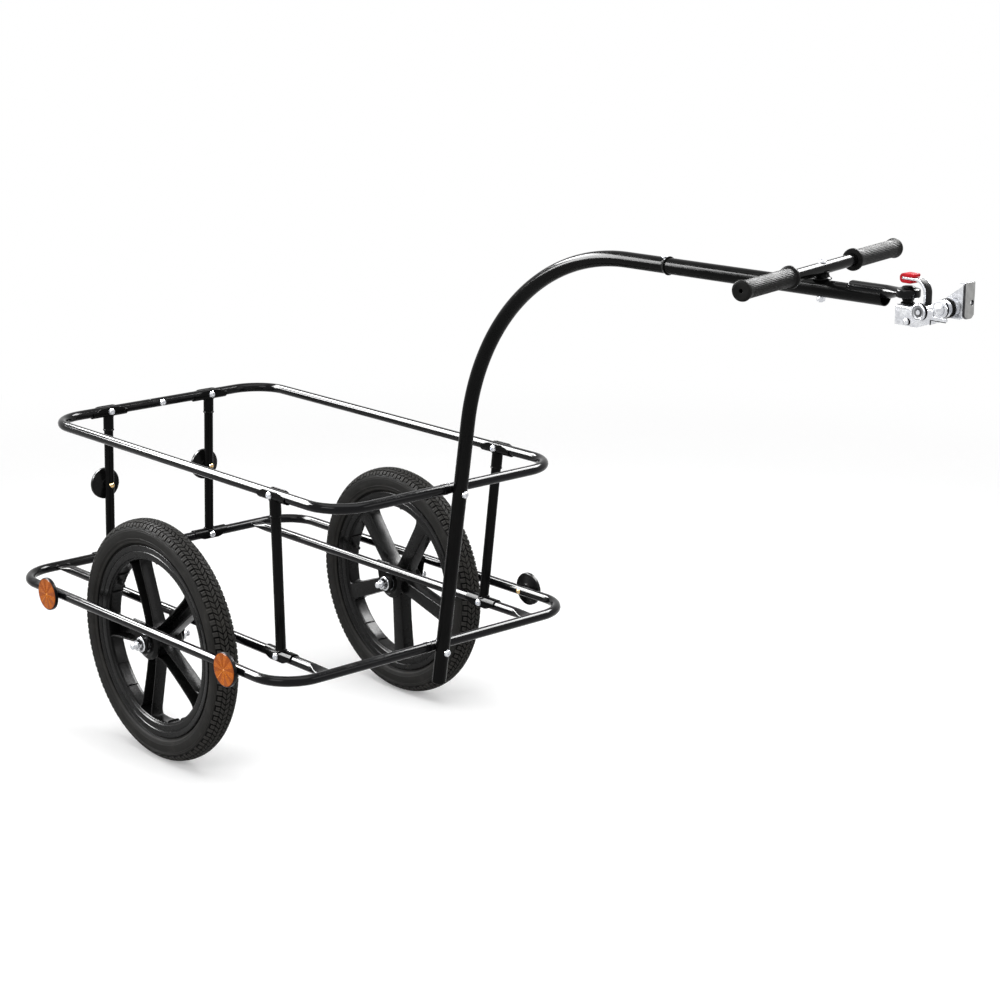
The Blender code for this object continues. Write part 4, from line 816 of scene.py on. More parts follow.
def boltShells(start, direction, grip):
    # a domed head with a hexagon socket, a washer under it, a shank, and a nut with the shank's tip in it
    axis = unit(direction)
    r, h = bolts["headRadius"], bolts["headHeight"]
    dome = np.linspace(0, 1, 7)
    profile = [(0.0001, -h + 0.0016), (bolts["socket"] * 1.02, -h + 0.0016),
               (bolts["socket"] * 1.06, -h + 0.0001)]
    trims = [bolts["socket"] * 0.9, bolts["socket"] * 0.9, bolts["socket"]]
    for share in dome:
        angle = share * math.pi / 2
        profile.append((bolts["socket"] * 1.3 + (r - bolts["socket"] * 1.3) * math.sin(angle),
                        -h + (h - bolts["washer"] - 0.0006) * (1 - math.cos(angle))))
        trims.append(0)
    profile += [(r - 0.0003, -bolts["washer"]), (r * 0.8, -bolts["washer"]), (0.0001, -bolts["washer"])]
    trims += [0, 0, 0]
    shells = [revolved(profile, start, axis, 36, trims)]
    w = 0.00015
    washer = [(bolts["radius"], 0), (r + 0.0002 - w, 0), (r + 0.0002, -w),
              (r + 0.0002, w - bolts["washer"]), (r + 0.0002 - w, -bolts["washer"]),
              (bolts["radius"], -bolts["washer"])]
    shells.append(revolved(washer, start, axis, 32, loop=True))
    shank = [(bolts["radius"] - 0.0001, -0.0005), (bolts["radius"] - 0.0001, grip + 0.0005)]
    shells.append(revolved(shank, start, axis, 16))
    n, tall = bolts["nutRadius"], bolts["nutHeight"]
    nut = [(n * 0.55, grip), (n * 0.90, grip), (n * 1.01, grip + 0.0005), (n * 1.01, grip + tall - 0.0016),
           (n * 0.88, grip + tall - 0.0010), (n * 0.62, grip + tall - 0.0010)]
    shells.append(revolved(nut, start, axis, 36, n * 0.866))
    tip = [(bolts["radius"], grip + 0.001), (bolts["radius"], grip + tall - 0.0004),
           (bolts["radius"] * 0.78, grip + tall)]
    shells.append(revolved(tip, start, axis, 20))
    return shells


def drawbarWays():
    # the lean of the drawbar's lower run, and the direction across it, away from the crossbars
    top, lower = tubes["top"], tubes["lower"]
    lean = math.atan2(top["front"] - lower["front"], top["z"] - lower["z"])
    return at(math.sin(lean), 0, math.cos(lean)), at(math.cos(lean), 0, -math.sin(lean))


drawbar = {
    "radius": 0.011, "wall": 0.0015, "footDrop": 0.054, "bend": 0.343, "end": 1.252, "endZ": 0.897,
    "rise": math.radians(1.0), "joint": 0.886, "buttonSetback": 0.010}
drawbar["standoff"] = tubes["radius"] + drawbar["radius"] + seatGap


def buildBolts():
    # a bolt through every saddle, through the rings' rear seams, and through the drawbar at both rings
    reach = tubes["radius"] + 2 * seatGap + uprights["wall"]
    for end in ("rear", "front"):
        way = -axisX if end == "rear" else axisY
        for name, side in sides.items():
            for level, point in zip(("foot", "top"), uprightEnds(end, side)):
                shells = boltShells(point - reach * way, way, 2 * reach)
                makePiece("bolt" + end.title() + level.title() + name.title(), shells, zincPlate, "frame",
                          ("bolt_" + end + "_" + level + "_" + name,))
    for level in ("top", "lower"):
        ring, reach = tubes[level], tubes["radius"] + seatGap
        shells = boltShells(at(ring["rear"] + reach, 0.002, ring["z"]), -axisX, 2 * reach)
        makePiece(level + "RingJointBolt", shells, zincPlate, "frame", (level + "_ring_joint_bolt",))
    across = drawbarWays()[1]
    for level, ringName in (("upper", "top"), ("lower", "lower")):
        ring = tubes[ringName]
        headOut = drawbar["standoff"] + drawbar["radius"] + seatGap
        front = at(ring["front"], 0, ring["z"]) + headOut * across
        grip = drawbar["standoff"] + drawbar["radius"] + tubes["radius"] + 2 * seatGap
        makePiece("drawbarBolt" + level.title(), boltShells(front, -across, grip), zincPlate, "frame",
                  ("drawbar_bolt_" + level,))


buildBolts()
print("bolts ready")


# Wheels and tyres

tyres = {
    "middle": 0.1778, "section": 0.0222, "power": 2.3, "flange": 0.1588, "bars": 126, "rows": 240,
    "slant": 0.66, "stagger": 0.5, "crownDepth": 2.0, "shoulderDepth": 2.2, "wallDrop": 0.9,
    "bead": (0.1487, 0.0128), "wall": 0.0035}
# along the tyre: share of a bar's pitch and how high the rubber stands there; a thin slit splits each block
barShape = np.array([(0.00, 0.0), (0.13, 0.0), (0.24, 0.0), (0.29, 0.86), (0.325, 1.0), (0.595, 1.0),
                     (0.62, 0.45), (0.66, 0.45), (0.685, 1.0), (0.925, 1.0), (0.96, 0.86)])
# across the tyre, in millimetres from the crown: three rows of blocks with grooves between them
crossShape = np.array([(0.0, 0.0), (0.7, 0.0), (0.95, 0.86), (1.25, 1.0), (3.9, 1.0), (6.5, 1.0),
                       (6.8, 0.86), (7.05, 0.0), (8.05, 0.0), (8.3, 0.86), (8.6, 1.0), (11.2, 1.0),
                       (13.7, 1.0), (14.0, 0.86), (14.25, 0.0), (15.25, 0.0), (15.5, 0.86), (15.8, 1.0),
                       (18.5, 1.0), (21.2, 1.0), (21.8, 1.0), (22.5, 1.0), (23.6, 1.0), (24.2, 0.86),
                       (24.9, 0.0)])
# the side wall under the tread: millimetres from the crown and how far it lies below the section's line
wallShape = np.array([(0.0, 3.0), (8.0, 3.0), (16.0, 3.0), (22.0, 2.8), (24.5, 2.0), (25.0, 0.93),
                      (26.4, 0.90), (27.2, 0.90), (27.6, 0.45), (28.3, 0.45), (28.7, 0.90), (30.0, 0.90),
                      (30.3, 0.55), (30.9, 0.55), (31.2, 0.90), (34.5, 0.86), (38.0, 0.86), (41.5, 0.90),
                      (43.0, 0.90), (43.3, 0.52), (44.0, 0.52), (44.3, 0.90), (47.0, 0.90), (48.4, 0.88),
                      (49.0, 0.40), (52.0, 0.38), (52.7, 0.80), (53.6, 1.25), (54.4, 1.30), (55.2, 0.90),
                      (57.7, 0.90)])


def tyreSection():
    # a superellipse from the crown to the rim's flange: places along it, and the way out of it at each
    power = 2 / tyres["power"]
    angle = np.linspace(0, math.pi * 0.97, 900)
    y = tyres["section"] * np.abs(np.sin(angle)) ** power
    r = tyres["middle"] + tyres["section"] * np.sign(np.cos(angle)) * np.abs(np.cos(angle)) ** power
    keep = r >= tyres["flange"]
    y, r = y[keep], r[keep]
    length = 1000 * np.concatenate([[0], np.cumsum(np.hypot(np.diff(y), np.diff(r)))])
    out = unit(np.stack([-np.gradient(r, length), np.gradient(y, length)], -1))
    return length, y, r, out


def onSection(section, s, drop):
    # a point s millimetres from the crown, on either side of it, sunk by drop millimetres
    length, y, r, out = section
    a, side = np.abs(s), np.sign(s)
    outY, outR = np.interp(a, length, out[:, 0]), np.interp(a, length, out[:, 1])
    return (side * (np.interp(a, length, y) - 0.001 * drop * outY),
            np.interp(a, length, r) - 0.001 * drop * outR)


def bothSides(values, flip=1.0):
    # a column of values from the far side over the crown to the near side
    return np.concatenate([flip * values[:0:-1], values])


def treadSheet(section):
    # blocks are bar shape times cross shape; turning whole columns by the slant keeps edges crisp
    s = bothSides(crossShape[:, 0], -1.0)
    a = np.abs(s)
    across = bothSides(crossShape[:, 1])
    short = np.where(a > 21, across * np.interp(a, [21.2, 21.8, 22.5], [1.0, 0.86, 0.0]), across)
    bars, along = tyres["bars"], barShape[:, 1]
    odd = (np.arange(bars) % 2)[:, None, None]
    tread = along[None, :, None] * np.where(odd, short, across)
    tread = tread.reshape(-1, len(s))
    depths = [tyres["crownDepth"], tyres["crownDepth"], tyres["shoulderDepth"], 2.0, tyres["wallDrop"]]
    depth = np.interp(a, [0, 14, 15.5, 20.5, 24.9], depths)
    y, r = onSection(section, s[None], depth * (1 - tread))
    slant = np.interp(a, [0, 7.05, 8.05, 14.25], [0, 1, 1, 0])
    lead = tyres["slant"] * slant + tyres["stagger"] * np.clip((s + 0.7) / 1.4, 0, 1)
    under = np.array([25.7, 25.7, 16.0, 0.0, -16.0, -25.7, -25.7])
    drops = np.array([1.7, 3.0, 3.6, 3.6, 3.6, 3.0, 1.7])
    underY, underR = onSection(section, under, drops)
    rows = len(tread)
    y = np.concatenate([y, np.broadcast_to(underY, (rows, 7))], 1)
    r = np.concatenate([r, np.broadcast_to(underR, (rows, 7))], 1)
    lead = np.concatenate([lead, np.interp(under, [-25.7, 25.7], [0, tyres["stagger"]])])
    place = (np.arange(bars)[:, None] + barShape[None, :, 0]).reshape(-1)
    turn = tau * (place[:, None] - lead[None]) / bars
    # the height also goes to the material, which paints shade into the grooves
    tag = np.concatenate([tread, np.zeros((rows, 7))], 1)
    return sheet(np.stack([r * np.cos(turn), y, r * np.sin(turn)], -1), wrapRows=True, tag=tag)


def carcassSheet(section):
    # the side walls with their moulded rings, the beads under the rim's flanges, and the lining inside
    s, drop = bothSides(wallShape[:, 0], -1.0), bothSides(wallShape[:, 1])
    y, r = onSection(section, s, drop)
    beadR, beadY = tyres["bead"]
    r = np.concatenate([r, [0.1540, beadR, beadR, 0.1560, 0.1700, 0.1850, 0.1925, 0.1925, 0.1850, 0.1700,
                            0.1560, beadR, beadR, 0.1540]])
    y = np.concatenate([y, [0.0134, beadY, beadY - tyres["wall"], 0.0098, 0.0172, 0.0165, 0.0075, -0.0075,
                            -0.0165, -0.0172, -0.0098, tyres["wall"] - beadY, -beadY, -0.0134]])
    # painted shade: sunk rings and the beads are tagged low, so they take the dark groove colour; raised
    # rings stay paler
    tag = np.concatenate([np.where(drop < 0.7, 0.62, np.where(drop > 1.1, 0.0, 0.45)), np.full(14, 0.2)])
    turn = tau * np.arange(tyres["rows"])[:, None] / tyres["rows"]
    grid = np.stack([r * np.cos(turn), y + 0 * turn, r * np.sin(turn)], -1)
    return sheet(grid, wrapRows=True, tag=np.broadcast_to(tag, grid.shape[:2]))


def tyreShells():
    # the tread and the carcass under it, from one section
    section = tyreSection()
    return [treadSheet(section), carcassSheet(section)]


wheels = {
    "offset": 0.2510, "z": 0.200, "phase": {"left": 57.4, "right": 39.5}, "spokes": 5,
    "innerFace": -0.012, "outerFace": 0.011, "web": 0.004, "flange": 0.0036, "hubWidth": 0.0245,
    "rimWidth": 0.0300, "root": 0.0215, "tip": 0.1362, "rimFlare": 0.0075, "hubFlare": 0.0030,
    "hubHalf": 0.028, "bearing": 0.0143, "ribs": (-9.0, 9.0), "stem": 108.0}


def rimShell():
    # the rim's section from the barrel's middle over lip, face band and flange, then mirrored
    half = [(0.1345, 0.0), (0.1343, 0.0075), (0.1347, 0.0112), (0.1356, 0.0124), (0.1374, 0.0126),
            (0.1381, 0.0140), (0.1392, 0.0148), (0.1478, 0.0153), (0.1484, 0.0146), (0.1494, 0.0146),
            (0.1500, 0.0156), (0.1565, 0.0164), (0.1584, 0.0163), (0.1588, 0.0150), (0.1584, 0.0136),
            (0.1482, 0.0135)]
    radii = [0, 0.004, 0.0016, 0.0006, 0.0006, 0.0008, 0.0008, 0.0003, 0.0003, 0.0003, 0.0005, 0.0012,
             0.0010, 0.0008, 0.0003, 0]
    line = rounded(half, radii, 3)[1:]
    profile = np.concatenate([line, line[::-1] * np.array([1, -1])])
    return revolved(profile, (0, 0, 0), axisY, 192, loop=True)


def hubShells():
    # a barrel with a raised ring at each face, a dish round the bearing and a stepped bore
    end, bearing = wheels["hubHalf"], wheels["bearing"]
    half = [(0.0095, end - 0.0102), (bearing, end - 0.0100), (bearing, end), (0.0168, end),
            (0.0172, end - 0.0022), (0.0206, end - 0.0022), (0.0210, end - 0.0003),
            (0.0238, end - 0.0003), (0.0283, end - 0.0046), (0.0286, end - 0.0075),
            (0.0262, end - 0.0110), (0.0252, 0.0)]
    radii = [0, 0.0004, 0.0006, 0.0006, 0.0004, 0.0004, 0.0006, 0.0008, 0.0016, 0.0014, 0.003, 0]
    line = rounded(half, radii, 4)
    profile = np.concatenate([line[:-1], line[::-1] * np.array([1, -1])])
    return [revolved(profile, (0, 0, 0), axisY, 72, loop=True)]


def spokeShell(angle):
    # a U section that is open outwards; its width grows evenly and flares where it runs into rim and hub
    radial = at(math.cos(angle), 0, math.sin(angle))
    tangent = at(-math.sin(angle), 0, math.cos(angle))
    root, tip = wheels["root"], wheels["tip"]
    reach = root + (tip - root) * np.concatenate([np.linspace(0, 0.22, 8), np.linspace(0.30, 0.72, 5),
                                                  np.linspace(0.78, 1, 13)])
    share = (reach - root) / (tip - root)
    width = wheels["hubWidth"] + (wheels["rimWidth"] - wheels["hubWidth"]) * share
    width = width + 2 * wheels["rimFlare"] * np.exp(-(tip - reach) / 0.0042)
    width = width + 2 * wheels["hubFlare"] * np.exp(-(reach - root) / 0.006)
    dip, rise = 0.0010 * np.sin(math.pi * share), 0.0030 * np.exp(-(reach - root) / 0.010)
    outerFace = wheels["outerFace"] - dip + rise
    rows = []
    for w, out, length in zip(width, outerFace, reach):
        h, f = w / 2, wheels["flange"]
        low, web = wheels["innerFace"], wheels["innerFace"] + wheels["web"]
        corners = [(-h + 0.0012, low), (h - 0.0012, low), (h, out), (h - f * 0.8, out), (h - f * 1.25, web),
                   (-h + f * 1.25, web), (-h + f * 0.8, out), (-h, out)]
        line = rounded(corners, [0.0016, 0.0016, 0.0009, 0.0009, 0.0030, 0.0030, 0.0009, 0.0009], 3,
                       closed=True)
        rows.append(length * radial + line[:, :1] * tangent + line[:, 1:] * axisY)
    return sheet(np.stack(rows), caps="flat")


def wheelShells(name):
    # rim, hub and five spokes, with two thin ribs inside the barrel between each pair of spokes
    phase = math.radians(wheels["phase"][name])
    shells = [rimShell()] + hubShells()
    for index in range(wheels["spokes"]):
        angle = phase + tau * index / wheels["spokes"]
        shells.append(spokeShell(angle))
        for offset in wheels["ribs"]:
            middle = angle + math.pi / wheels["spokes"] + math.radians(offset)
            radial = at(math.cos(middle), 0, math.sin(middle))
            tangent = at(-math.sin(middle), 0, math.cos(middle))
            corners = [(0.1352, -0.0118), (0.1352, 0.0118), (0.1322, 0.0100), (0.1316, 0.0),
                       (0.1322, -0.0100)]
            outline = rounded(corners, [0, 0, 0.0015, 0.004, 0.0015], 3, closed=True)
            points = outline[:, :1] * radial + outline[:, 1:] * axisY - 0.0005 * tangent
            shells.append(slab(points, 0.0010 * tangent, 0.0002))
    return shells


def stemShells(name):
    # a rubber valve stem that stands inwards from the barrel, with its cap
    angle = math.radians(wheels["phase"][name] + wheels["stem"])
    radial = at(math.cos(angle), 0, math.sin(angle))
    profile = [(0.0056, 0.0), (0.0054, 0.0012), (0.0036, 0.0022), (0.0030, 0.0040), (0.0029, 0.0075),
               (0.0024, 0.0080), (0.0024, 0.0086), (0.0034, 0.0088), (0.0036, 0.0094), (0.0036, 0.0128),
               (0.0030, 0.0136), (0.0002, 0.0138)]
    return [revolved(rounded(profile, 0.0004, 2), 0.1352 * radial, -radial, 24)]


axles = {
    "radius": 0.005, "plateGap": 0.0654, "plate": 0.003, "overhang": 0.0143, "stub": 0.0045,
    "flange": 0.0124, "nut": 0.0096, "nutHeight": 0.0095, "pitch": 0.0010,
    "bearing": (0.014, 0.008, 0.0015)}


def threadedProfile(start, end, radius, pitch):
    # a zigzag between the thread's crest and its root, one ring a pitch
    count = max(2, int(round(abs(end - start) / pitch)) * 2)
    height = np.linspace(start, end, count + 1)
    reach = radius - 0.32 * pitch * (np.arange(count + 1) % 2)
    return np.stack([reach, height], -1)


def axleShells():
    # a plain shaft with threaded ends, and a cone that stands against each bearing
    end = axles["plateGap"] / 2 + axles["plate"] + axles["overhang"] + axles["stub"]
    coneInner, coneOuter = wheels["hubHalf"] - 0.0015 + seatGap, axles["plateGap"] / 2 - seatGap
    thread = threadedProfile(coneOuter + 0.0004, end - 0.0008, axles["radius"], axles["pitch"])
    half = np.concatenate([[(axles["radius"] - 0.0003, 0.0),
                            (axles["radius"] - 0.0003, coneInner - 0.001)], thread,
                           [(axles["radius"] - 0.0007, end), (0.0002, end + 0.0001)]])
    profile = np.concatenate([half[::-1] * np.array([1, -1]), half[1:]])
    shells = [revolved(profile, (0, 0, 0), axisY, 32)]
    for way in (1.0, -1.0):
        cone = [(axles["radius"], coneInner), (0.0072, coneInner), (0.0086, coneInner + 0.0016),
                (0.0088, coneInner + 0.0024), (0.0090, coneInner + 0.0030), (0.0090, coneOuter - 0.0004),
                (0.0086, coneOuter), (axles["radius"], coneOuter)]
        shells.append(revolved(np.array(cone) * np.array([1, way]), (0, 0, 0), axisY, 36, loop=True))
    return shells


def axleNutShells(way):
    # a hexagon nut on a wide round flange, which is dished where it meets the hexagon; tags paint shade at
    # the bore and where flange and hexagon meet
    start = axles["plateGap"] / 2 + axles["plate"] + seatGap
    n, rim, tall, bore = axles["nut"], axles["flange"], axles["nutHeight"], axles["radius"] + 0.0002
    flange = [(bore, start), (rim - 0.0003, start), (rim, start + 0.0004), (rim, start + 0.0015),
              (rim - 0.0005, start + 0.0020), (n + 0.0002, start + 0.0023), (n - 0.0006, start + 0.0028),
              (bore, start + 0.0028)]
    flangeShade = [0.9, 0.7, 0.0, 0.0, 0.0, 0.5, 1.0, 1.0]
    nut = [(bore, start + 0.0026), (n, start + 0.0026), (n, start + tall - 0.0014),
           (n * 0.90, start + tall - 0.0002), (0.0066, start + tall), (bore + 0.0004, start + tall),
           (bore, start + tall - 0.0004)]
    nutShade = [1.0, 0.8, 0.0, 0.0, 0.0, 0.6, 1.0]
    flip = np.array([1, way])
    return [revolved(np.array(flange) * flip, (0, 0, 0), axisY, 48, loop=True, tag=flangeShade),
            revolved(np.array(nut) * flip, (0, 0, 0), axisY, 48, n * 0.866, loop=True, tag=nutShade)]


def bearingShells(way):
    # outer race, a dark rubber shield with a ring pressed in it, and the inner race
    radius, width, recess = axles["bearing"]
    face = wheels["hubHalf"] - recess
    flip = np.array([1, way])
    outer = [(0.0118, face - width), (radius, face - width), (radius, face - 0.0004),
             (radius - 0.0004, face), (0.0120, face), (0.0118, face - 0.0003)]
    inner = [(0.0054, face - width), (0.0078, face - width), (0.0078, face - 0.0003), (0.0076, face),
             (0.0058, face), (0.0054, face - 0.0004)]
    shield = [(0.0077, face - width + 0.0005), (0.0119, face - width + 0.0005), (0.0119, face - 0.0006),
              (0.0108, face - 0.0004), (0.0104, face - 0.0008), (0.0092, face - 0.0008),
              (0.0088, face - 0.0004), (0.0077, face - 0.0006)]
    return [revolved(np.array(outer) * flip, (0, 0, 0), axisY, 48, loop=True),
            revolved(np.array(inner) * flip, (0, 0, 0), axisY, 48, loop=True),
            revolved(np.array(shield) * flip, (0, 0, 0), axisY, 48, loop=True, paint=1)]


plates = {"half": 0.022, "top": 0.239, "foot": 0.0155, "lowerSeam": 0.2300, "hole": 0.0053}


def rayReach(outline, centre, angles):
    # how far a ray from the centre runs to the outline at each angle: its cuts with all edges at once
    start = outline - centre
    edge = np.roll(outline, -1, 0) - outline
    way = np.stack([np.cos(angles), np.sin(angles)], -1)
    cross = way[:, None, 0] * edge[None, :, 1] - way[:, None, 1] * edge[None, :, 0]
    safe = np.where(np.abs(cross) < 1e-12, 1e-12, cross)
    reach = (start[None, :, 0] * edge[None, :, 1] - start[None, :, 1] * edge[None, :, 0]) / safe
    share = (start[None, :, 0] * way[:, None, 1] - start[None, :, 1] * way[:, None, 0]) / safe
    good = (share >= -1e-6) & (share <= 1 + 1e-6) & (reach > 0) & (np.abs(cross) > 1e-12)
    return np.where(good, reach, 1e3).min(1)


def holedSlab(outline, hole, holeRadius, origin, across, upward, depth, bevel=0.0004, paint=0,
              edgeShade=0.0):
    # a plate round a hole: rings run from the hole's rim to the outline, over its bevelled edge and back
    angles = tau * np.arange(96) / 96
    corners = np.arctan2(outline[:, 1] - hole[1], outline[:, 0] - hole[0]) % tau
    nearest = np.abs((corners[:, None] - angles[None] + math.pi) % tau - math.pi).argmin(1)
    angles[nearest] = corners
    angles = np.sort(angles)
    reach = rayReach(outline, hole, angles)
    way = np.stack([np.cos(angles), np.sin(angles)], -1)
    depth = np.asarray(depth, float)
    thick = np.linalg.norm(depth)
    # a row each: rise over the lower face, inset, whether it follows the outline or the hole, and how much
    # painted shade it takes
    rows = np.array([(0.0, bevel * 0.6, 0, 0), (0.0, bevel + 0.0004, 1, 0), (0.0, bevel, 1, 0.4),
                     (bevel, 0.0, 1, 1), (thick - bevel, 0.0, 1, 1), (thick, bevel, 1, 0.4),
                     (thick, bevel + 0.0004, 1, 0), (thick, bevel * 0.6, 0, 0),
                     (thick - bevel * 0.6, 0.0, 0, 1), (bevel * 0.6, 0.0, 0, 1)])
    grid = []
    for rise, inset, outside in rows[:, :3]:
        length = reach - inset if outside else holeRadius + inset
        flat = hole + np.broadcast_to(length, reach.shape)[:, None] * way
        grid.append(origin + flat[:, :1] * across + flat[:, 1:] * upward + rise * depth / thick)
    return sheet(np.stack(grid), wrapRows=True, paint=paint, tag=edgeShade * rows[:, 3:])


def plateOutline():
    # a wide top along the tube, sides that draw in to the round foot under the axle
    foot, half, top = plates["foot"], plates["half"], plates["top"] - wheels["z"]
    turn = np.linspace(math.radians(-8), math.radians(-172), 22)
    arc = foot * np.stack([np.cos(turn), np.sin(turn)], -1)
    upper = rounded([arc[-1], (-half, top - 0.010), (-half, top), (half, top), (half, top - 0.010), arc[0]],
                    [0, 0.006, 0.003, 0.003, 0.006, 0], 5)
    return np.concatenate([arc, upper[1:-1]])


def buildWheels():
    # shells are made for the left side and mirrored; each wheel has two plates, nuts and bearings
    base = tyreShells()
    outline = plateOutline()
    for name, side in sides.items():
        centre = at(0, side * wheels["offset"], wheels["z"])
        body = "wheel_assembly_" + name

        def placed(shells):
            # shells about the wheel's centre, brought to this side
            shells = shells if side > 0 else mirrored(shells)
            return [moved(shell, centre) for shell in shells]
        makePiece("tyre" + name.title(), placed(base), tyreRubber, body, ("tyre_" + name,),
                  33.0, "tread")
        makePiece("wheel" + name.title(), placed(wheelShells(name)), nylonBlack, body, ("wheel_" + name,))
        makePiece("valveStem" + name.title(), placed(stemShells(name)), washerRubber, body, ())
        makePiece("axle" + name.title(), placed(axleShells()), zincPlate, "frame", ("axle_" + name,))
        for endName, way in (("outer", 1.0), ("inner", -1.0)):
            makePiece("axleNut" + endName.title() + name.title(), placed(axleNutShells(way)), zincPlate,
                      "frame", ("axle_nut_" + endName + "_" + name,), 38.0, "shade")
            makePiece("bearing" + endName.title() + name.title(), placed(bearingShells(way)),
                      [bearingSteel, washerRubber], body, ("bearing_" + endName + "_" + name,))
            start = way * (axles["plateGap"] / 2)
            origin = at(0, start, 0)
            shells = [holedSlab(outline, np.zeros(2), plates["hole"], origin, axisX, axisZ,
                                way * axles["plate"] * axisY)]
            for height in (plates["top"], plates["lowerSeam"]):
                across = np.linspace(-0.019, 0.019, 30)
                weldY = start + way * (axles["plate"] + 0.0010)
                line = np.stack([across, np.full(30, weldY), np.full(30, height - wheels["z"])], -1)
                shells.append(seamBead(line, 0.0016, 14))
            makePiece("axlePlate" + endName.title() + name.title(), placed(shells), satinBlack, "frame",
                      ("axle_plate_" + endName + "_" + name,))


buildWheels()
print("wheels ready")


# Drawbar and handle

def topRun(x, lift=0.0):
    # the point of the drawbar's top run at a given x, raised by lift; the run climbs by one degree
    return at(x, 0, drawbar["endZ"] + (x - drawbar["end"]) * math.tan(drawbar["rise"]) + lift)


def drawbarLine():
    # from the foot up the leaning run, round the bend and along the top run to the joint
    lean, across = drawbarWays()
    run = at(math.cos(drawbar["rise"]), 0, math.sin(drawbar["rise"]))
    anchor = at(tubes["lower"]["front"], 0, tubes["lower"]["z"]) + drawbar["standoff"] * across
    gap = topRun(drawbar["end"]) - anchor
    climb = (gap[0] * run[2] - gap[2] * run[0]) / (lean[0] * run[2] - lean[2] * run[0])
    corner = anchor + climb * lean
    return rounded([anchor - drawbar["footDrop"] * lean, corner,
                    topRun(drawbar["joint"]) - seatGap * axisX], drawbar["bend"], 64)


trough = {"start": 1.197, "lift": 0.007, "arm": 0.0085}


def troughSection():
    # a thin wall cut off where it meets the arm: along the outer arc, and back along the bore
    outer, bore = drawbar["radius"], drawbar["radius"] - drawbar["wall"]
    cut, lift = trough["arm"] + seatGap, trough["lift"]
    tipZ = (outer ** 2 - cut ** 2 + lift ** 2) / (2 * lift)
    meetZ = (bore ** 2 - cut ** 2 + lift ** 2) / (2 * lift)
    high, low = math.asin(tipZ / outer), math.asin(meetZ / bore)
    arc = np.linspace(high, -math.pi - high, 34)
    back = np.linspace(-math.pi - low, low, 30)
    wall = np.stack([outer * np.cos(arc), outer * np.sin(arc)], -1)
    inside = np.stack([bore * np.cos(back), bore * np.sin(back)], -1)
    return np.concatenate([wall, inside])


def buildDrawbar():
    # the bent lower half with its flared lip, the straight upper half with spigot and trough, the button
    line = drawbarLine()
    shells = [tubeShell(line, drawbar["radius"], up=axisY, count=40, depth=0.05)]
    run = at(math.cos(drawbar["rise"]), 0, math.sin(drawbar["rise"]))
    lip = [(0.0109, -0.0060), (0.0114, -0.0045), (0.0121, -0.0022), (0.0128, -0.0007), (0.0126, -0.0001),
           (0.0108, -0.0001)]
    shells.append(revolved(lip, line[-1], run, 40, loop=True))
    makePiece("drawbarLower", shells, satinBlack, "frame", ("drawbar_lower",))
    start, front = topRun(drawbar["joint"]), topRun(trough["start"] - 0.0003)
    shells = [tubeShell([start, front], drawbar["radius"], up=axisY, count=40, openEnds=(True, False),
                        depth=0.01)]
    inner = [start - 0.03 * run, start + 0.004 * run]
    shells.append(tubeShell(inner, drawbar["radius"] - drawbar["wall"] - 0.0002, up=axisY, count=32,
                            depth=0.01))
    ends = np.stack([front, topRun(drawbar["end"] - 0.0002), topRun(drawbar["end"])])
    section = troughSection()
    grid = carried(section, ends, np.broadcast_to(run, ends.shape), axisZ)
    shells.append(sheet(grid, caps="flat"))
    makePiece("drawbarUpper", shells, satinBlack, "frame", ("drawbar_upper",))
    place = topRun(drawbar["joint"] - drawbar["buttonSetback"])
    button = [(0.0055, 0.0034), (0.0055, 0.0044), (0.0037, 0.0046), (0.0037, 0.0118), (0.0034, 0.0128),
              (0.0026, 0.0134), (0.0014, 0.0137), (0.0001, 0.0138)]
    makePiece("drawbarLockButton", [revolved(rounded(button, 0.0003, 2), place, axisZ, 28)], zincPlate,
              "lock_button", ("drawbar_lock_button",))


handle = {
    "x": 1.150, "stand": 0.0058, "yaw": math.radians(12.9), "bar": 0.008, "half": 0.203,
    "gripLength": 0.1215, "grip": 0.0115, "gripEnd": 0.0133, "flange": 0.0145, "ribs": 36, "boss": 0.013}


def gripShell(centre, way):
    # a sleeve whose radius ripples round it in fine ribs between the flange and the thicker end
    outer, inner = handle["half"], handle["half"] - handle["gripLength"]
    thin, thick, flange = handle["grip"], handle["gripEnd"], handle["flange"]
    profile = rounded([(0.0083, inner), (0.0138, inner), (flange, inner + 0.0010),
                       (flange, inner + 0.0040), (0.0138, inner + 0.0050), (0.0122, inner + 0.0056),
                       (0.0117, inner + 0.0085), (thin, inner + 0.0120), (thin, outer - 0.0140),
                       (0.0124, outer - 0.0075), (thick, outer - 0.0036), (0.0127, outer - 0.0006),
                       (0.0102, outer), (0.0029, outer), (0.0025, outer - 0.0005),
                       (0.0025, outer - 0.0035), (0.0083, outer - 0.0035)],
                      [0, 0.0006, 0.0006, 0.0006, 0.0006, 0.0010, 0.0015, 0.002, 0.004, 0.003, 0.0016,
                       0.0012, 0.0010, 0.0004, 0.0003, 0.0004, 0], 3)
    count = handle["ribs"] * 6
    first, second = frameAcross(way)
    angle = tau * np.arange(count) / count
    ribbed = np.clip((profile[:, 1] - inner - 0.010) / 0.003, 0, 1)
    ribbed = ribbed * np.clip((outer - 0.006 - profile[:, 1]) / 0.003, 0, 1) * (profile[:, 0] > 0.0105)
    dip = 0.00038 * (0.5 - 0.5 * np.cos(handle["ribs"] * angle))
    reach = profile[:, :1] - ribbed[:, None] * dip[None]
    stations = np.broadcast_to(profile[:, 1:], reach.shape)
    around = np.cos(angle)[:, None] * first + np.sin(angle)[:, None] * second
    grid = centre + reach[..., None] * around[None] + stations[..., None] * unit(way)
    return sheet(grid, wrapRows=True)


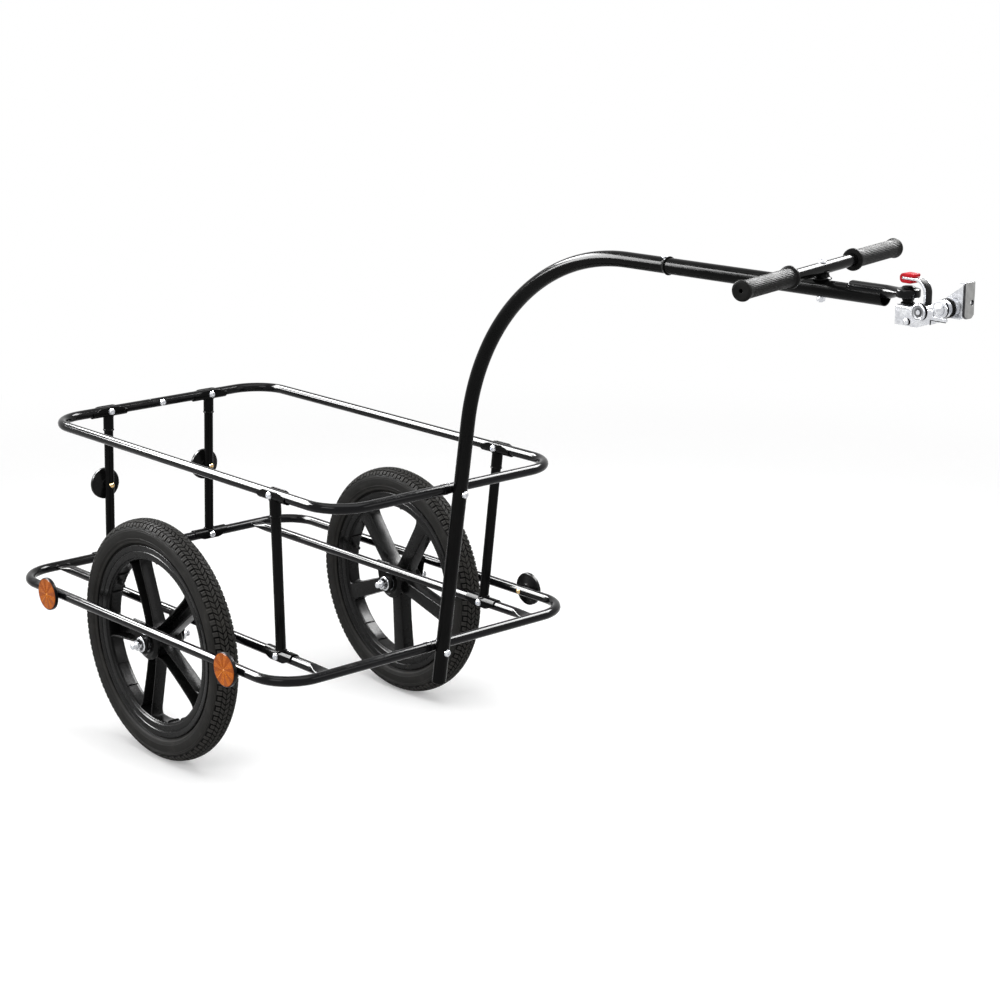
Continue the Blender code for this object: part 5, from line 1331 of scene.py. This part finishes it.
def buildHandle():
    # a bar on a boss, held by one screw through the drawbar, with a grip at each end
    below = topRun(handle["x"])[2]
    height = below + drawbar["radius"] + handle["stand"] + handle["bar"]
    centre = at(handle["x"], 0, height)
    way = at(-math.sin(handle["yaw"]), math.cos(handle["yaw"]), 0)
    end = handle["half"] - 0.0038
    shells = [tubeShell([centre - end * way, centre + end * way], handle["bar"], count=36, depth=0.02)]
    seat, nutTop = below + drawbar["radius"] + 0.0005, below - drawbar["radius"] - 0.0005
    bottom, top = height - handle["bar"], height + handle["bar"]
    boss = rounded([(0.0001, seat), (handle["boss"], seat), (handle["boss"], seat + 0.0016),
                    (0.0104, seat + 0.0030), (0.0092, bottom + 0.0020), (0.0104, bottom + 0.0048),
                    (0.0001, bottom + 0.0052)], [0, 0.0006, 0.0008, 0.0015, 0.0020, 0.0006, 0], 4)
    shells.append(revolved(boss, (handle["x"], 0, 0), axisZ, 40))
    screw = [(0.0001, top + 0.0013), (0.0021, top + 0.0013), (0.0022, top + 0.0030),
             (0.0038, top + 0.0029), (0.0050, top + 0.0020), (0.0055, top + 0.0008),
             (0.0054, top - 0.0010), (0.0001, top - 0.0010)]
    shells.append(revolved(screw, (handle["x"], 0, 0), axisZ, 36, [0.0018, 0.0018, 0.0019, 0, 0, 0, 0, 0],
                           paint=1))
    shank = [(0.003, nutTop - 0.0062), (0.003, seat + 0.001)]
    shells.append(revolved(shank, (handle["x"], 0, 0), axisZ, 20, paint=1))
    nut = [(0.0030, nutTop), (0.0052, nutTop), (0.0056, nutTop - 0.0004), (0.0056, nutTop - 0.0042),
           (0.0050, nutTop - 0.0050), (0.0030, nutTop - 0.0050)]
    shells.append(revolved(nut, (handle["x"], 0, 0), axisZ, 36, 0.0055 * 0.88, paint=1))
    makePiece("handleBar", shells, [satinBlack, zincPlate], "handle", ("handle_bar",))
    for name, side in sides.items():
        makePiece("grip" + name.title(), [gripShell(centre, side * way)], gripRubber, "handle",
                  ("grip_" + name,), 50.0)


buildDrawbar()
buildHandle()
print("drawbar and handle ready")


# Tow arm and coupling

hitch = {
    "eyeX": 1.287, "eyeZ": 0.90711, "eyeRadius": 0.015, "eyeHalf": 0.0055, "rootHeight": 0.0044,
    "rootWidth": 0.01125, "top": 0.89401, "bottom": 0.87001, "rear": 1.2795, "web": 1.303, "half": 0.015,
    "wall": 0.003, "barrelX": 1.345, "barrelZ": 0.89601, "barrel": 0.011, "barrelReach": 0.014,
    "pivotX": 1.3165, "pivotZ": 0.88901, "leverBend": 0.016, "leverRise": 0.0365, "leverTip": 1.282,
    "leverWidth": 0.014, "leverThick": 0.003, "leverShadeSkin": 0.00006, "rivetX": 1.297, "rivetDrop": 0.019,
    "washer": 0.0119, "bracketWall": 0.004, "webFace": 0.0013, "flangeX": 1.372, "flangeLow": 0.88701,
    "flangeTop": 0.93101, "flangeHalf": 0.009, "flangeCut": 0.004, "flangeHole": 0.0032,
    "flangeHoleRise": 0.019}


def towArmShells():
    # a rod with a rounded start; its section eases from round to a flat oval that runs into the forged eye
    start, shank = trough["start"] + 0.0003, 1.252
    turn = np.linspace(0.15, 1, 6) * math.pi / 2
    dome = np.sin(turn)
    x = np.concatenate([start + 0.0030 * (1 - np.cos(turn)), np.linspace(start + 0.004, shank, 4)])
    reach = np.concatenate([trough["arm"] * (0.72 + 0.28 * dome), np.full(4, trough["arm"])])
    points = np.stack([topRun(v, trough["lift"]) for v in x])
    share = np.linspace(0, 1, 15)[1:]
    ease = share * share * (3 - 2 * share)
    root = at(hitch["eyeX"] - 0.004, 0, hitch["eyeZ"])
    last = points[-1]
    bridge = last + share[:, None] * (root - last)
    bridge[:, 2] = last[2] + ease * (root[2] - last[2])
    points = np.concatenate([points, bridge])
    high = np.concatenate([reach, trough["arm"] + ease * (hitch["rootHeight"] - trough["arm"])])
    wide = np.concatenate([reach, trough["arm"] + ease * (hitch["rootWidth"] + 0.0016 - trough["arm"])])
    grid = carried(circleLine(40), points, pathTangents(points), axisY, np.stack([high, wide], -1))
    shells = [sheet(grid)]
    half, radius, hole = hitch["eyeHalf"], hitch["eyeRadius"], 0.0043
    eye = rounded([(hole, -half), (radius, -half), (radius, half), (hole, half)],
                  [0.0005, 0.0026, 0.0026, 0.0005], 6, closed=True)
    shells.append(revolved(eye, (hitch["eyeX"], 0, hitch["eyeZ"]), axisZ, 56, loop=True))
    return shells


def kingpinShells():
    # a flat head over the arm's eye, the pin through it and a nut under the housing's roof
    top, web = hitch["eyeZ"] + hitch["eyeHalf"] + seatGap, hitch["top"] - hitch["wall"] - seatGap
    head = [(0.0001, top + 0.0030), (0.0050, top + 0.0029), (0.0074, top + 0.0022),
            (0.0085, top + 0.0008), (0.0084, top), (0.0041, top)]
    pin = [(0.0040, top + 0.0002), (0.0040, web - 0.0066), (0.0034, web - 0.0072)]
    nut = [(0.0040, web), (0.0070, web), (0.0075, web - 0.0005), (0.0075, web - 0.0052),
           (0.0068, web - 0.0060), (0.0040, web - 0.0060)]
    origin = (hitch["eyeX"], 0, 0)
    return [revolved(head, origin, axisZ, 36, paint=1), revolved(pin, origin, axisZ, 24),
            revolved(nut, origin, axisZ, 36, 0.0066)]


def housingShells():
    # the channel's rear is one bent sheet; from the web's end on, each cheek is a plate of its own
    h, w, top, low = hitch["half"], hitch["wall"], hitch["top"], hitch["bottom"]
    corners = [(-h, low), (-h, top), (h, top), (h, low), (h - w, low), (h - w, top - w),
               (w - h, top - w), (w - h, low)]
    arch = rounded(corners, [0.0008, 0.0036, 0.0036, 0.0008, 0.0008, 0.0010, 0.0010, 0.0008], 5,
                   closed=True)
    rows = []
    for x, less in ((hitch["rear"], 0.0006), (hitch["rear"] + 0.0006, 0.0), (hitch["web"], 0.0)):
        middle = np.array([0, (top + low) / 2])
        trimmed = middle + (arch - middle) * (1 - less / 0.012)
        rows.append(np.stack([np.full(len(arch), x), trimmed[:, 0], trimmed[:, 1]], -1))
    shells = [sheet(np.stack(rows), caps="flat")]
    corners = [(hitch["web"] - 0.0002, low), (1.3130, low), (1.3336, low + 0.0072),
               (1.3340, low + 0.0120), (1.3570, low + 0.0120), (1.3570, low + 0.0165),
               (1.3369, low + 0.0165), (1.3369, top), (hitch["web"] - 0.0002, top)]
    outline = rounded(corners, [0, 0.006, 0.0022, 0.0012, 0.0016, 0.0016, 0.0016, 0.0050, 0], 5,
                      closed=True)
    points = np.stack([outline[:, 0], np.full(len(outline), -h), outline[:, 1]], -1)
    near = slab(points, w * axisY, 0.0005)
    shells += [near] + mirrored([near])
    eye = (hitch["eyeX"], 0, 0)
    neck = [(0.0044, top - 0.0015), (0.0086, top - 0.0010), (0.0087, top + 0.0012),
            (0.0080, top + 0.0018), (0.0066, top + 0.0024), (0.0066, top + 0.0042),
            (0.0074, top + 0.0048), (0.0075, top + 0.0068), (0.0071, top + 0.0073),
            (0.0044, top + 0.0073)]
    shells.append(revolved(neck, eye, axisZ, 40, paint=1))
    barrel = (hitch["barrelX"], 0, hitch["barrelZ"])
    r, reach = hitch["barrel"], hitch["barrelReach"]
    for start, end in ((-reach, hitch["webFace"] - 0.0036), (hitch["webFace"] + 0.0043, reach)):
        profile = [(0.0043, start), (r, start), (r, end), (0.0043, end)]
        profile = rounded(profile, [0.0004, 0.0008, 0.0008, 0.0004], 4, closed=True)
        shells.append(revolved(profile, barrel, axisY, 48, loop=True))
    rivet = at(hitch["rivetX"], 0, top - hitch["rivetDrop"])
    # the rivet's shank is tagged so that painted shade darkens it under both heads
    body = [(0.0001, -0.0168), (0.0020, -0.0167), (0.0036, -0.0160), (0.0043, -0.0150), (0.0030, -0.0149),
            (0.0030, 0.0149), (0.0043, 0.0150), (0.0036, 0.0160), (0.0020, 0.0167), (0.0001, 0.0168)]
    shells.append(revolved(body, rivet, axisY, 28, tag=[0, 0, 0, 0.5, 1, 1, 0.5, 0, 0, 0]))
    # dark discs of painted shadow stand forward of the rivet and of the lever's head, so each shows as a
    # crescent
    pivot = at(hitch["pivotX"], 0, hitch["pivotZ"])
    for middle, radius in ((rivet + at(0.0026, 0, 0.0004), 0.0042),
                           (pivot + at(0.0020, 0, 0.0008), 0.0104)):
        shadowDisc = [(0.0001, -h - 0.00012), (radius, -h - 0.00012), (radius, -h + 0.0002),
                (0.0001, -h + 0.0002)]
        shells.append(revolved(shadowDisc, middle, axisY, 48, paint=1))
    # a thin dark sheet of painted shade under the tongue, and a dark band of painted shade round the barrel
    # behind the bolt's head
    tongueShadow = rounded([(1.3328, low + 0.0058), (1.3336, low + 0.0058), (1.3341, low + 0.0113),
                    (1.3560, low + 0.0113), (1.3560, low + 0.0121), (1.3328, low + 0.0121)], 0.0002, 2,
                   closed=True)
    tongueShadow = np.stack([tongueShadow[:, 0], np.full(len(tongueShadow), -h - 0.0001), tongueShadow[:, 1]], -1)
    shells.append(slab(tongueShadow, 0.0012 * axisY, 0.0001, 2, paint=1))
    bandStart, bandEnd = 0.0022 - reach, 0.0048 - reach
    band = [(r - 0.0002, bandStart), (r + 0.00012, bandStart), (r + 0.00012, bandEnd),
            (r - 0.0002, bandEnd)]
    shells.append(revolved(band, barrel, axisY, 48, loop=True, paint=1))
    return shells


def leverLine():
    # up from the pivot, a quarter turn, and back over the arm's eye
    x, z, bend = hitch["pivotX"], hitch["pivotZ"], hitch["leverBend"]
    top = z + hitch["leverRise"]
    return rounded([at(x, 0, z + 0.002), at(x, 0, top), at(hitch["leverTip"], 0, top)], [0, bend, 0], 18)


def leverShells():
    # a bent strip with a dark skin of painted shade on its outer face, and its round eye, dished head and
    # pin
    line = leverLine()
    tangents = pathTangents(line)
    half, thick = hitch["leverWidth"] / 2, hitch["leverThick"] / 2
    strip = rounded([(-thick, -half), (thick, -half), (thick, half), (-thick, half)], 0.0006, 3,
                    closed=True)
    grid = carried(strip, line, tangents, axisY)
    shells = [sheet(grid, caps="flat")]
    across = unit(np.cross(np.broadcast_to(axisY, tangents.shape), tangents))
    outer = 1.0 if (across[0] @ axisX) > 0 else -1.0
    # the painted-shade skin stands so little proud that the lifted lever clears the washer and the
    # bracket's eye
    deep, proud, edge = outer * (thick - 0.0004), outer * (thick + hitch["leverShadeSkin"]), half - 0.0009
    shadeSkin = rounded([(deep, -edge), (proud, -edge), (proud, edge), (deep, edge)], 0.00003, 2, closed=True)
    shells.append(sheet(carried(shadeSkin, line[:-3], tangents[:-3], axisY), caps="flat", paint=1))
    pivot = (hitch["pivotX"], 0, hitch["pivotZ"])
    inside, out = hitch["half"] - hitch["wall"] - seatGap, hitch["half"] + seatGap
    eye = rounded([(0.0001, -inside), (0.0070, -inside), (0.0070, inside), (0.0001, inside)],
                  [0, 0.0008, 0.0008, 0], 3)
    shells.append(revolved(eye, pivot, axisY, 36))
    head = [(0.0001, -out - 0.0026), (0.0030, -out - 0.0026), (0.0034, -out - 0.0016),
            (0.0068, -out - 0.0014), (0.0076, -out - 0.0018), (0.0082, -out - 0.0029),
            (0.0092, -out - 0.0030), (0.0100, -out - 0.0026), (0.0104, -out - 0.0016),
            (0.0104, -out - 0.0003), (0.0101, -out), (0.0001, -out)]
    # painted shade: tags darken the head's dish and its rim
    headShade = [0.0, 0.15, 0.9, 0.55, 0.35, 0.75, 0.0, 0.0, 0.0, 0.5, 0.9, 0.9]
    shells.append(revolved(head, pivot, axisY, 48, tag=headShade))
    pin = [(0.0030, -out - 0.0002), (0.0030, out), (0.0048, out), (0.0044, out + 0.0012),
           (0.0028, out + 0.0018), (0.0001, out + 0.0018)]
    shells.append(revolved(pin, pivot, axisY, 28))
    return shells


def sleeveShells():
    # a soft C round the lever's tip: the outer line, and back along the slot that holds the strip
    x, z = hitch["leverTip"], hitch["pivotZ"] + hitch["leverRise"]
    slot, out = hitch["leverThick"] / 2 + seatGap, hitch["leverThick"] / 2 + seatGap + 0.0041
    end, mouth = x - 0.0038, x - 0.0038 + 0.0205
    corners = [(end, z - out), (mouth - 0.0030, z - out), (mouth - 0.0030, z - slot),
               (x - seatGap, z - slot), (x - seatGap, z + slot), (mouth, z + slot), (mouth, z + out),
               (end, z + out)]
    outline = rounded(corners, [0.0052, 0.0016, 0.0011, 0.0012, 0.0012, 0.0011, 0.0016, 0.0052], 8,
                      closed=True)
    points = np.stack([outline[:, 0], np.full(len(outline), -0.0072), outline[:, 1]], -1)
    return [slab(points, 0.0144 * axisY, 0.0008, 5)]


def crossBoltShells():
    # a domed head, the shank, and a hexagon nut that the shank's tip fills
    reach = hitch["barrelReach"] + seatGap
    head = [(0.0001, -reach - 0.0042), (0.0022, -reach - 0.0041), (0.0046, -reach - 0.0034),
            (0.0064, -reach - 0.0022), (0.0073, -reach - 0.0010), (0.0075, -reach - 0.0004),
            (0.0074, -reach), (0.0040, -reach)]
    shank = [(0.0040, -reach - 0.0002), (0.0040, reach + 0.0048), (0.0034, reach + 0.0055),
             (0.0001, reach + 0.0055)]
    nut = [(0.0040, reach), (0.0070, reach), (0.0075, reach + 0.0006), (0.0075, reach + 0.0040),
           (0.0066, reach + 0.0050), (0.0050, reach + 0.0054), (0.0040, reach + 0.0054)]
    place = (hitch["barrelX"], 0, hitch["barrelZ"])
    return [revolved(rounded(head, 0.0006, 3), place, axisY, 40), revolved(shank, place, axisY, 24),
            revolved(nut, place, axisY, 36, 0.0066)]


def bracketShells():
    # a web from the eye on the cross bolt to the flange, the flange with cut corners, hole and folded lip
    x, z, face, wall = hitch["barrelX"], hitch["barrelZ"], hitch["webFace"], hitch["bracketWall"]
    turn = np.radians(np.linspace(110, 270, 20))
    arc = np.stack([x + hitch["washer"] * np.cos(turn), z + hitch["washer"] * np.sin(turn)], -1)
    low, high, front = hitch["flangeLow"], hitch["flangeTop"], hitch["flangeX"]
    outline = np.concatenate([arc, [(front + 0.001, low + 0.0002), (front + 0.001, high - 0.0006)]])
    boltHole = np.array([x, z])
    # painted shade darkens the web's edges, and the flange's edges more; the flange also takes the darker
    # steel as painted shade
    shells = [holedSlab(outline, boltHole, 0.0043, at(0, face, 0), axisX, axisZ, wall * axisY, 0.0005,
                        edgeShade=0.5)]
    middle, cut = face + wall / 2, hitch["flangeCut"]
    right, left = middle - hitch["flangeHalf"], middle + hitch["flangeHalf"]
    corners = [(right, low + cut), (right + cut, low), (left - cut, low), (left, low + cut), (left, high),
               (right, high)]
    flange = rounded(corners, [0.001, 0.001, 0.001, 0.001, 0.0012, 0.0012], 3, closed=True)
    flangeHole = np.array([middle + 0.0045, low + hitch["flangeHoleRise"]])
    shells.append(holedSlab(flange, flangeHole, hitch["flangeHole"], at(front, 0, 0), axisY, axisZ,
                            wall * axisX, 0.0005, paint=1, edgeShade=0.9))
    bend = rounded([(front + 0.0035, high - 0.0032), (front + 0.0035, high - 0.0001),
                    (front - 0.005, high - 0.0001), (front - 0.005, high - 0.0020),
                    (front + 0.001, high - 0.0020), (front + 0.001, high - 0.0032)],
                   [0, 0.0024, 0.0005, 0.0005, 0.0006, 0], 4, closed=True)
    points = np.stack([bend[:, 0], np.full(len(bend), right + 0.0002), bend[:, 1]], -1)
    shells.append(slab(points, (left - right - 0.0004) * axisY, 0.0003))
    return shells


def buildCoupling():
    # from the arm's eye over the turning housing and its lever to the bracket on the bicycle's side
    makePiece("towArm", towArmShells(), glossBlack, "frame", ("tow_arm",))
    makePiece("couplerKingpin", kingpinShells(), [zincPlate, satinBlack], "coupler", ("coupler_kingpin",))
    makePiece("couplerHousing", housingShells(), [zincPlate, satinBlack], "coupler", ("coupler_housing",),
              38.0, "shade")
    makePiece("couplerLever", leverShells(), [zincPlate, gripRubber], "lever", ("coupler_lever",),
              38.0, "shade")
    makePiece("leverSleeve", sleeveShells(), redSleeve, "lever", ("lever_sleeve",))
    rim = hitch["washer"]
    washer = rounded([(0.0043, -0.0020), (rim, -0.0020), (rim, 0.0010), (0.0043, 0.0010)],
                     [0.0003, 0.0010, 0.0010, 0.0003], 4, closed=True)
    place = (hitch["barrelX"], 0, hitch["barrelZ"])
    makePiece("hitchCrossBolt", crossBoltShells(), zincPlate, "bicycle_side", ("hitch_cross_bolt",))
    makePiece("hitchWasher", [revolved(washer, place, axisY, 48, loop=True)], washerRubber,
              "bicycle_side", ("hitch_washer",))
    makePiece("bikeBracket", bracketShells(), [zincPlate, shadedFlangeSteel], "bicycle_side", ("bike_bracket",),
              38.0, "shade")


buildCoupling()
print("coupling ready")


# Reflectors

reflectors = {
    "radius": 0.0275, "lens": 0.0262, "standoff": 0.0083, "wedges": 8,
    "side": {"rear": -0.244, "front": 0.268}, "rearZ": 0.362, "screw": 0.0042}


def reflectorShells(seat, outward):
    # a dished dark back with a rim; the lens is a disc of wedges, each a shallow roof, with fine rings
    outward = unit(outward)
    rim = reflectors["radius"]
    profile = [(0.0001, 0.0002), (0.0090, 0.0), (0.0094, 0.0006), (0.0262, 0.0036), (rim, 0.0042),
               (rim, 0.0092), (0.0270, 0.0098), (0.0264, 0.0098), (0.0262, 0.0088), (0.0001, 0.0086)]
    radii = [0, 0.0004, 0.0008, 0.0010, 0.0006, 0.0004, 0.0003, 0.0003, 0.0003, 0]
    back = rounded(profile, radii, 3)
    shells = [revolved(back, seat, outward, 72)]
    count, radius = reflectors["wedges"] * 24, reflectors["lens"]
    first, second = frameAcross(outward)
    angle = tau * np.arange(count) / count
    share = np.concatenate([np.linspace(0.02, 0.90, 34), [0.93, 0.955, 0.975, 0.99, 1.0, 1.0]])
    reach = radius * share
    wedge = np.abs(((angle * reflectors["wedges"] / tau) % 1.0) - 0.5) * 2
    roof = 0.00042 * (1 - wedge)[None] * np.clip(share / 0.25, 0, 1)[:, None]
    seam = -0.00030 * np.clip(1 - (1 - wedge)[None] * share[:, None] * 10, 0, 1)
    rings = 0.00010 * np.sin(tau * reach / 0.0022)[:, None]
    inside = np.clip((0.915 - share) / 0.02, 0, 1)[:, None]
    dome = 0.0102 + 0.0006 * (1 - share ** 2)
    edge = np.where(share > 0.985, -0.0004, 0.0)
    edge[-1] -= 0.0014
    height = dome[:, None] + inside * (roof + seam + rings - 0.0003) + edge[:, None]
    around = np.cos(angle)[:, None] * first + np.sin(angle)[:, None] * second
    grid = np.asarray(seat) + reach[:, None, None] * around[None] + height[..., None] * outward
    floor = np.asarray(seat) + (0.98 * radius) * around + 0.0084 * outward
    grid = np.concatenate([grid, floor[None]])
    # painted light and shade: one half of each wedge is lit and the other shaded, bright lines run on the
    # seams, the middle glints and the rim is darker
    line = np.clip(1 - (1 - wedge)[None] * share[:, None] * radius / 0.0011, 0, 1) * (share[:, None] < 0.93)
    half = np.where((angle * reflectors["wedges"] / tau) % 1.0 < 0.5, 0.22, 0.52)[None] + 0 * share[:, None]
    facet = np.where(share[:, None] > 0.955, 0.12, half + 0.42 * line)
    facet = np.where(share[:, None] < 0.07, 0.95, facet)
    shells.append(sheet(grid, paint=1, tag=np.concatenate([facet, facet[-1:]])))
    head = [(0.0001, -0.0018), (0.0012, -0.0018), (0.0014, -0.0024), (0.0030, -0.0021), (0.0040, -0.0012),
            (reflectors["screw"], 0.0), (0.0001, 0.0002)]
    inner = np.asarray(seat) - 2 * reflectors["standoff"] * outward
    shells.append(revolved(np.array(head), inner, outward, 28, paint=2))
    shank = [(0.0020, 0.0), (0.0020, 2 * reflectors["standoff"])]
    shells.append(revolved(shank, inner, outward, 14, paint=2))
    return shells


def buildReflectors():
    # two on each side of the lower ring, and one behind each rear upright
    for name, side in sides.items():
        for end, x in reflectors["side"].items():
            seat = at(x, side * (tubes["lower"]["half"] + reflectors["standoff"]), tubes["lower"]["z"])
            makePiece("sideReflector" + end.title() + name.title(), reflectorShells(seat, side * axisY),
                      [nylonBlack, amberLens, brassScrew], "frame", ("side_reflector_" + end + "_" + name,),
                      24.0, "facet")
        foot, top = uprightEnds("rear", side)
        middle = foot + (top - foot) * (reflectors["rearZ"] - foot[2]) / (top[2] - foot[2])
        shells = reflectorShells(middle - reflectors["standoff"] * axisX, -axisX)
        makePiece("rearReflector" + name.title(), shells, [nylonBlack, redLens, brassScrew], "frame",
                  ("rear_reflector_" + name,), 24.0, "facet")


buildReflectors()
print("reflectors ready")


# The end

print("pieces done")
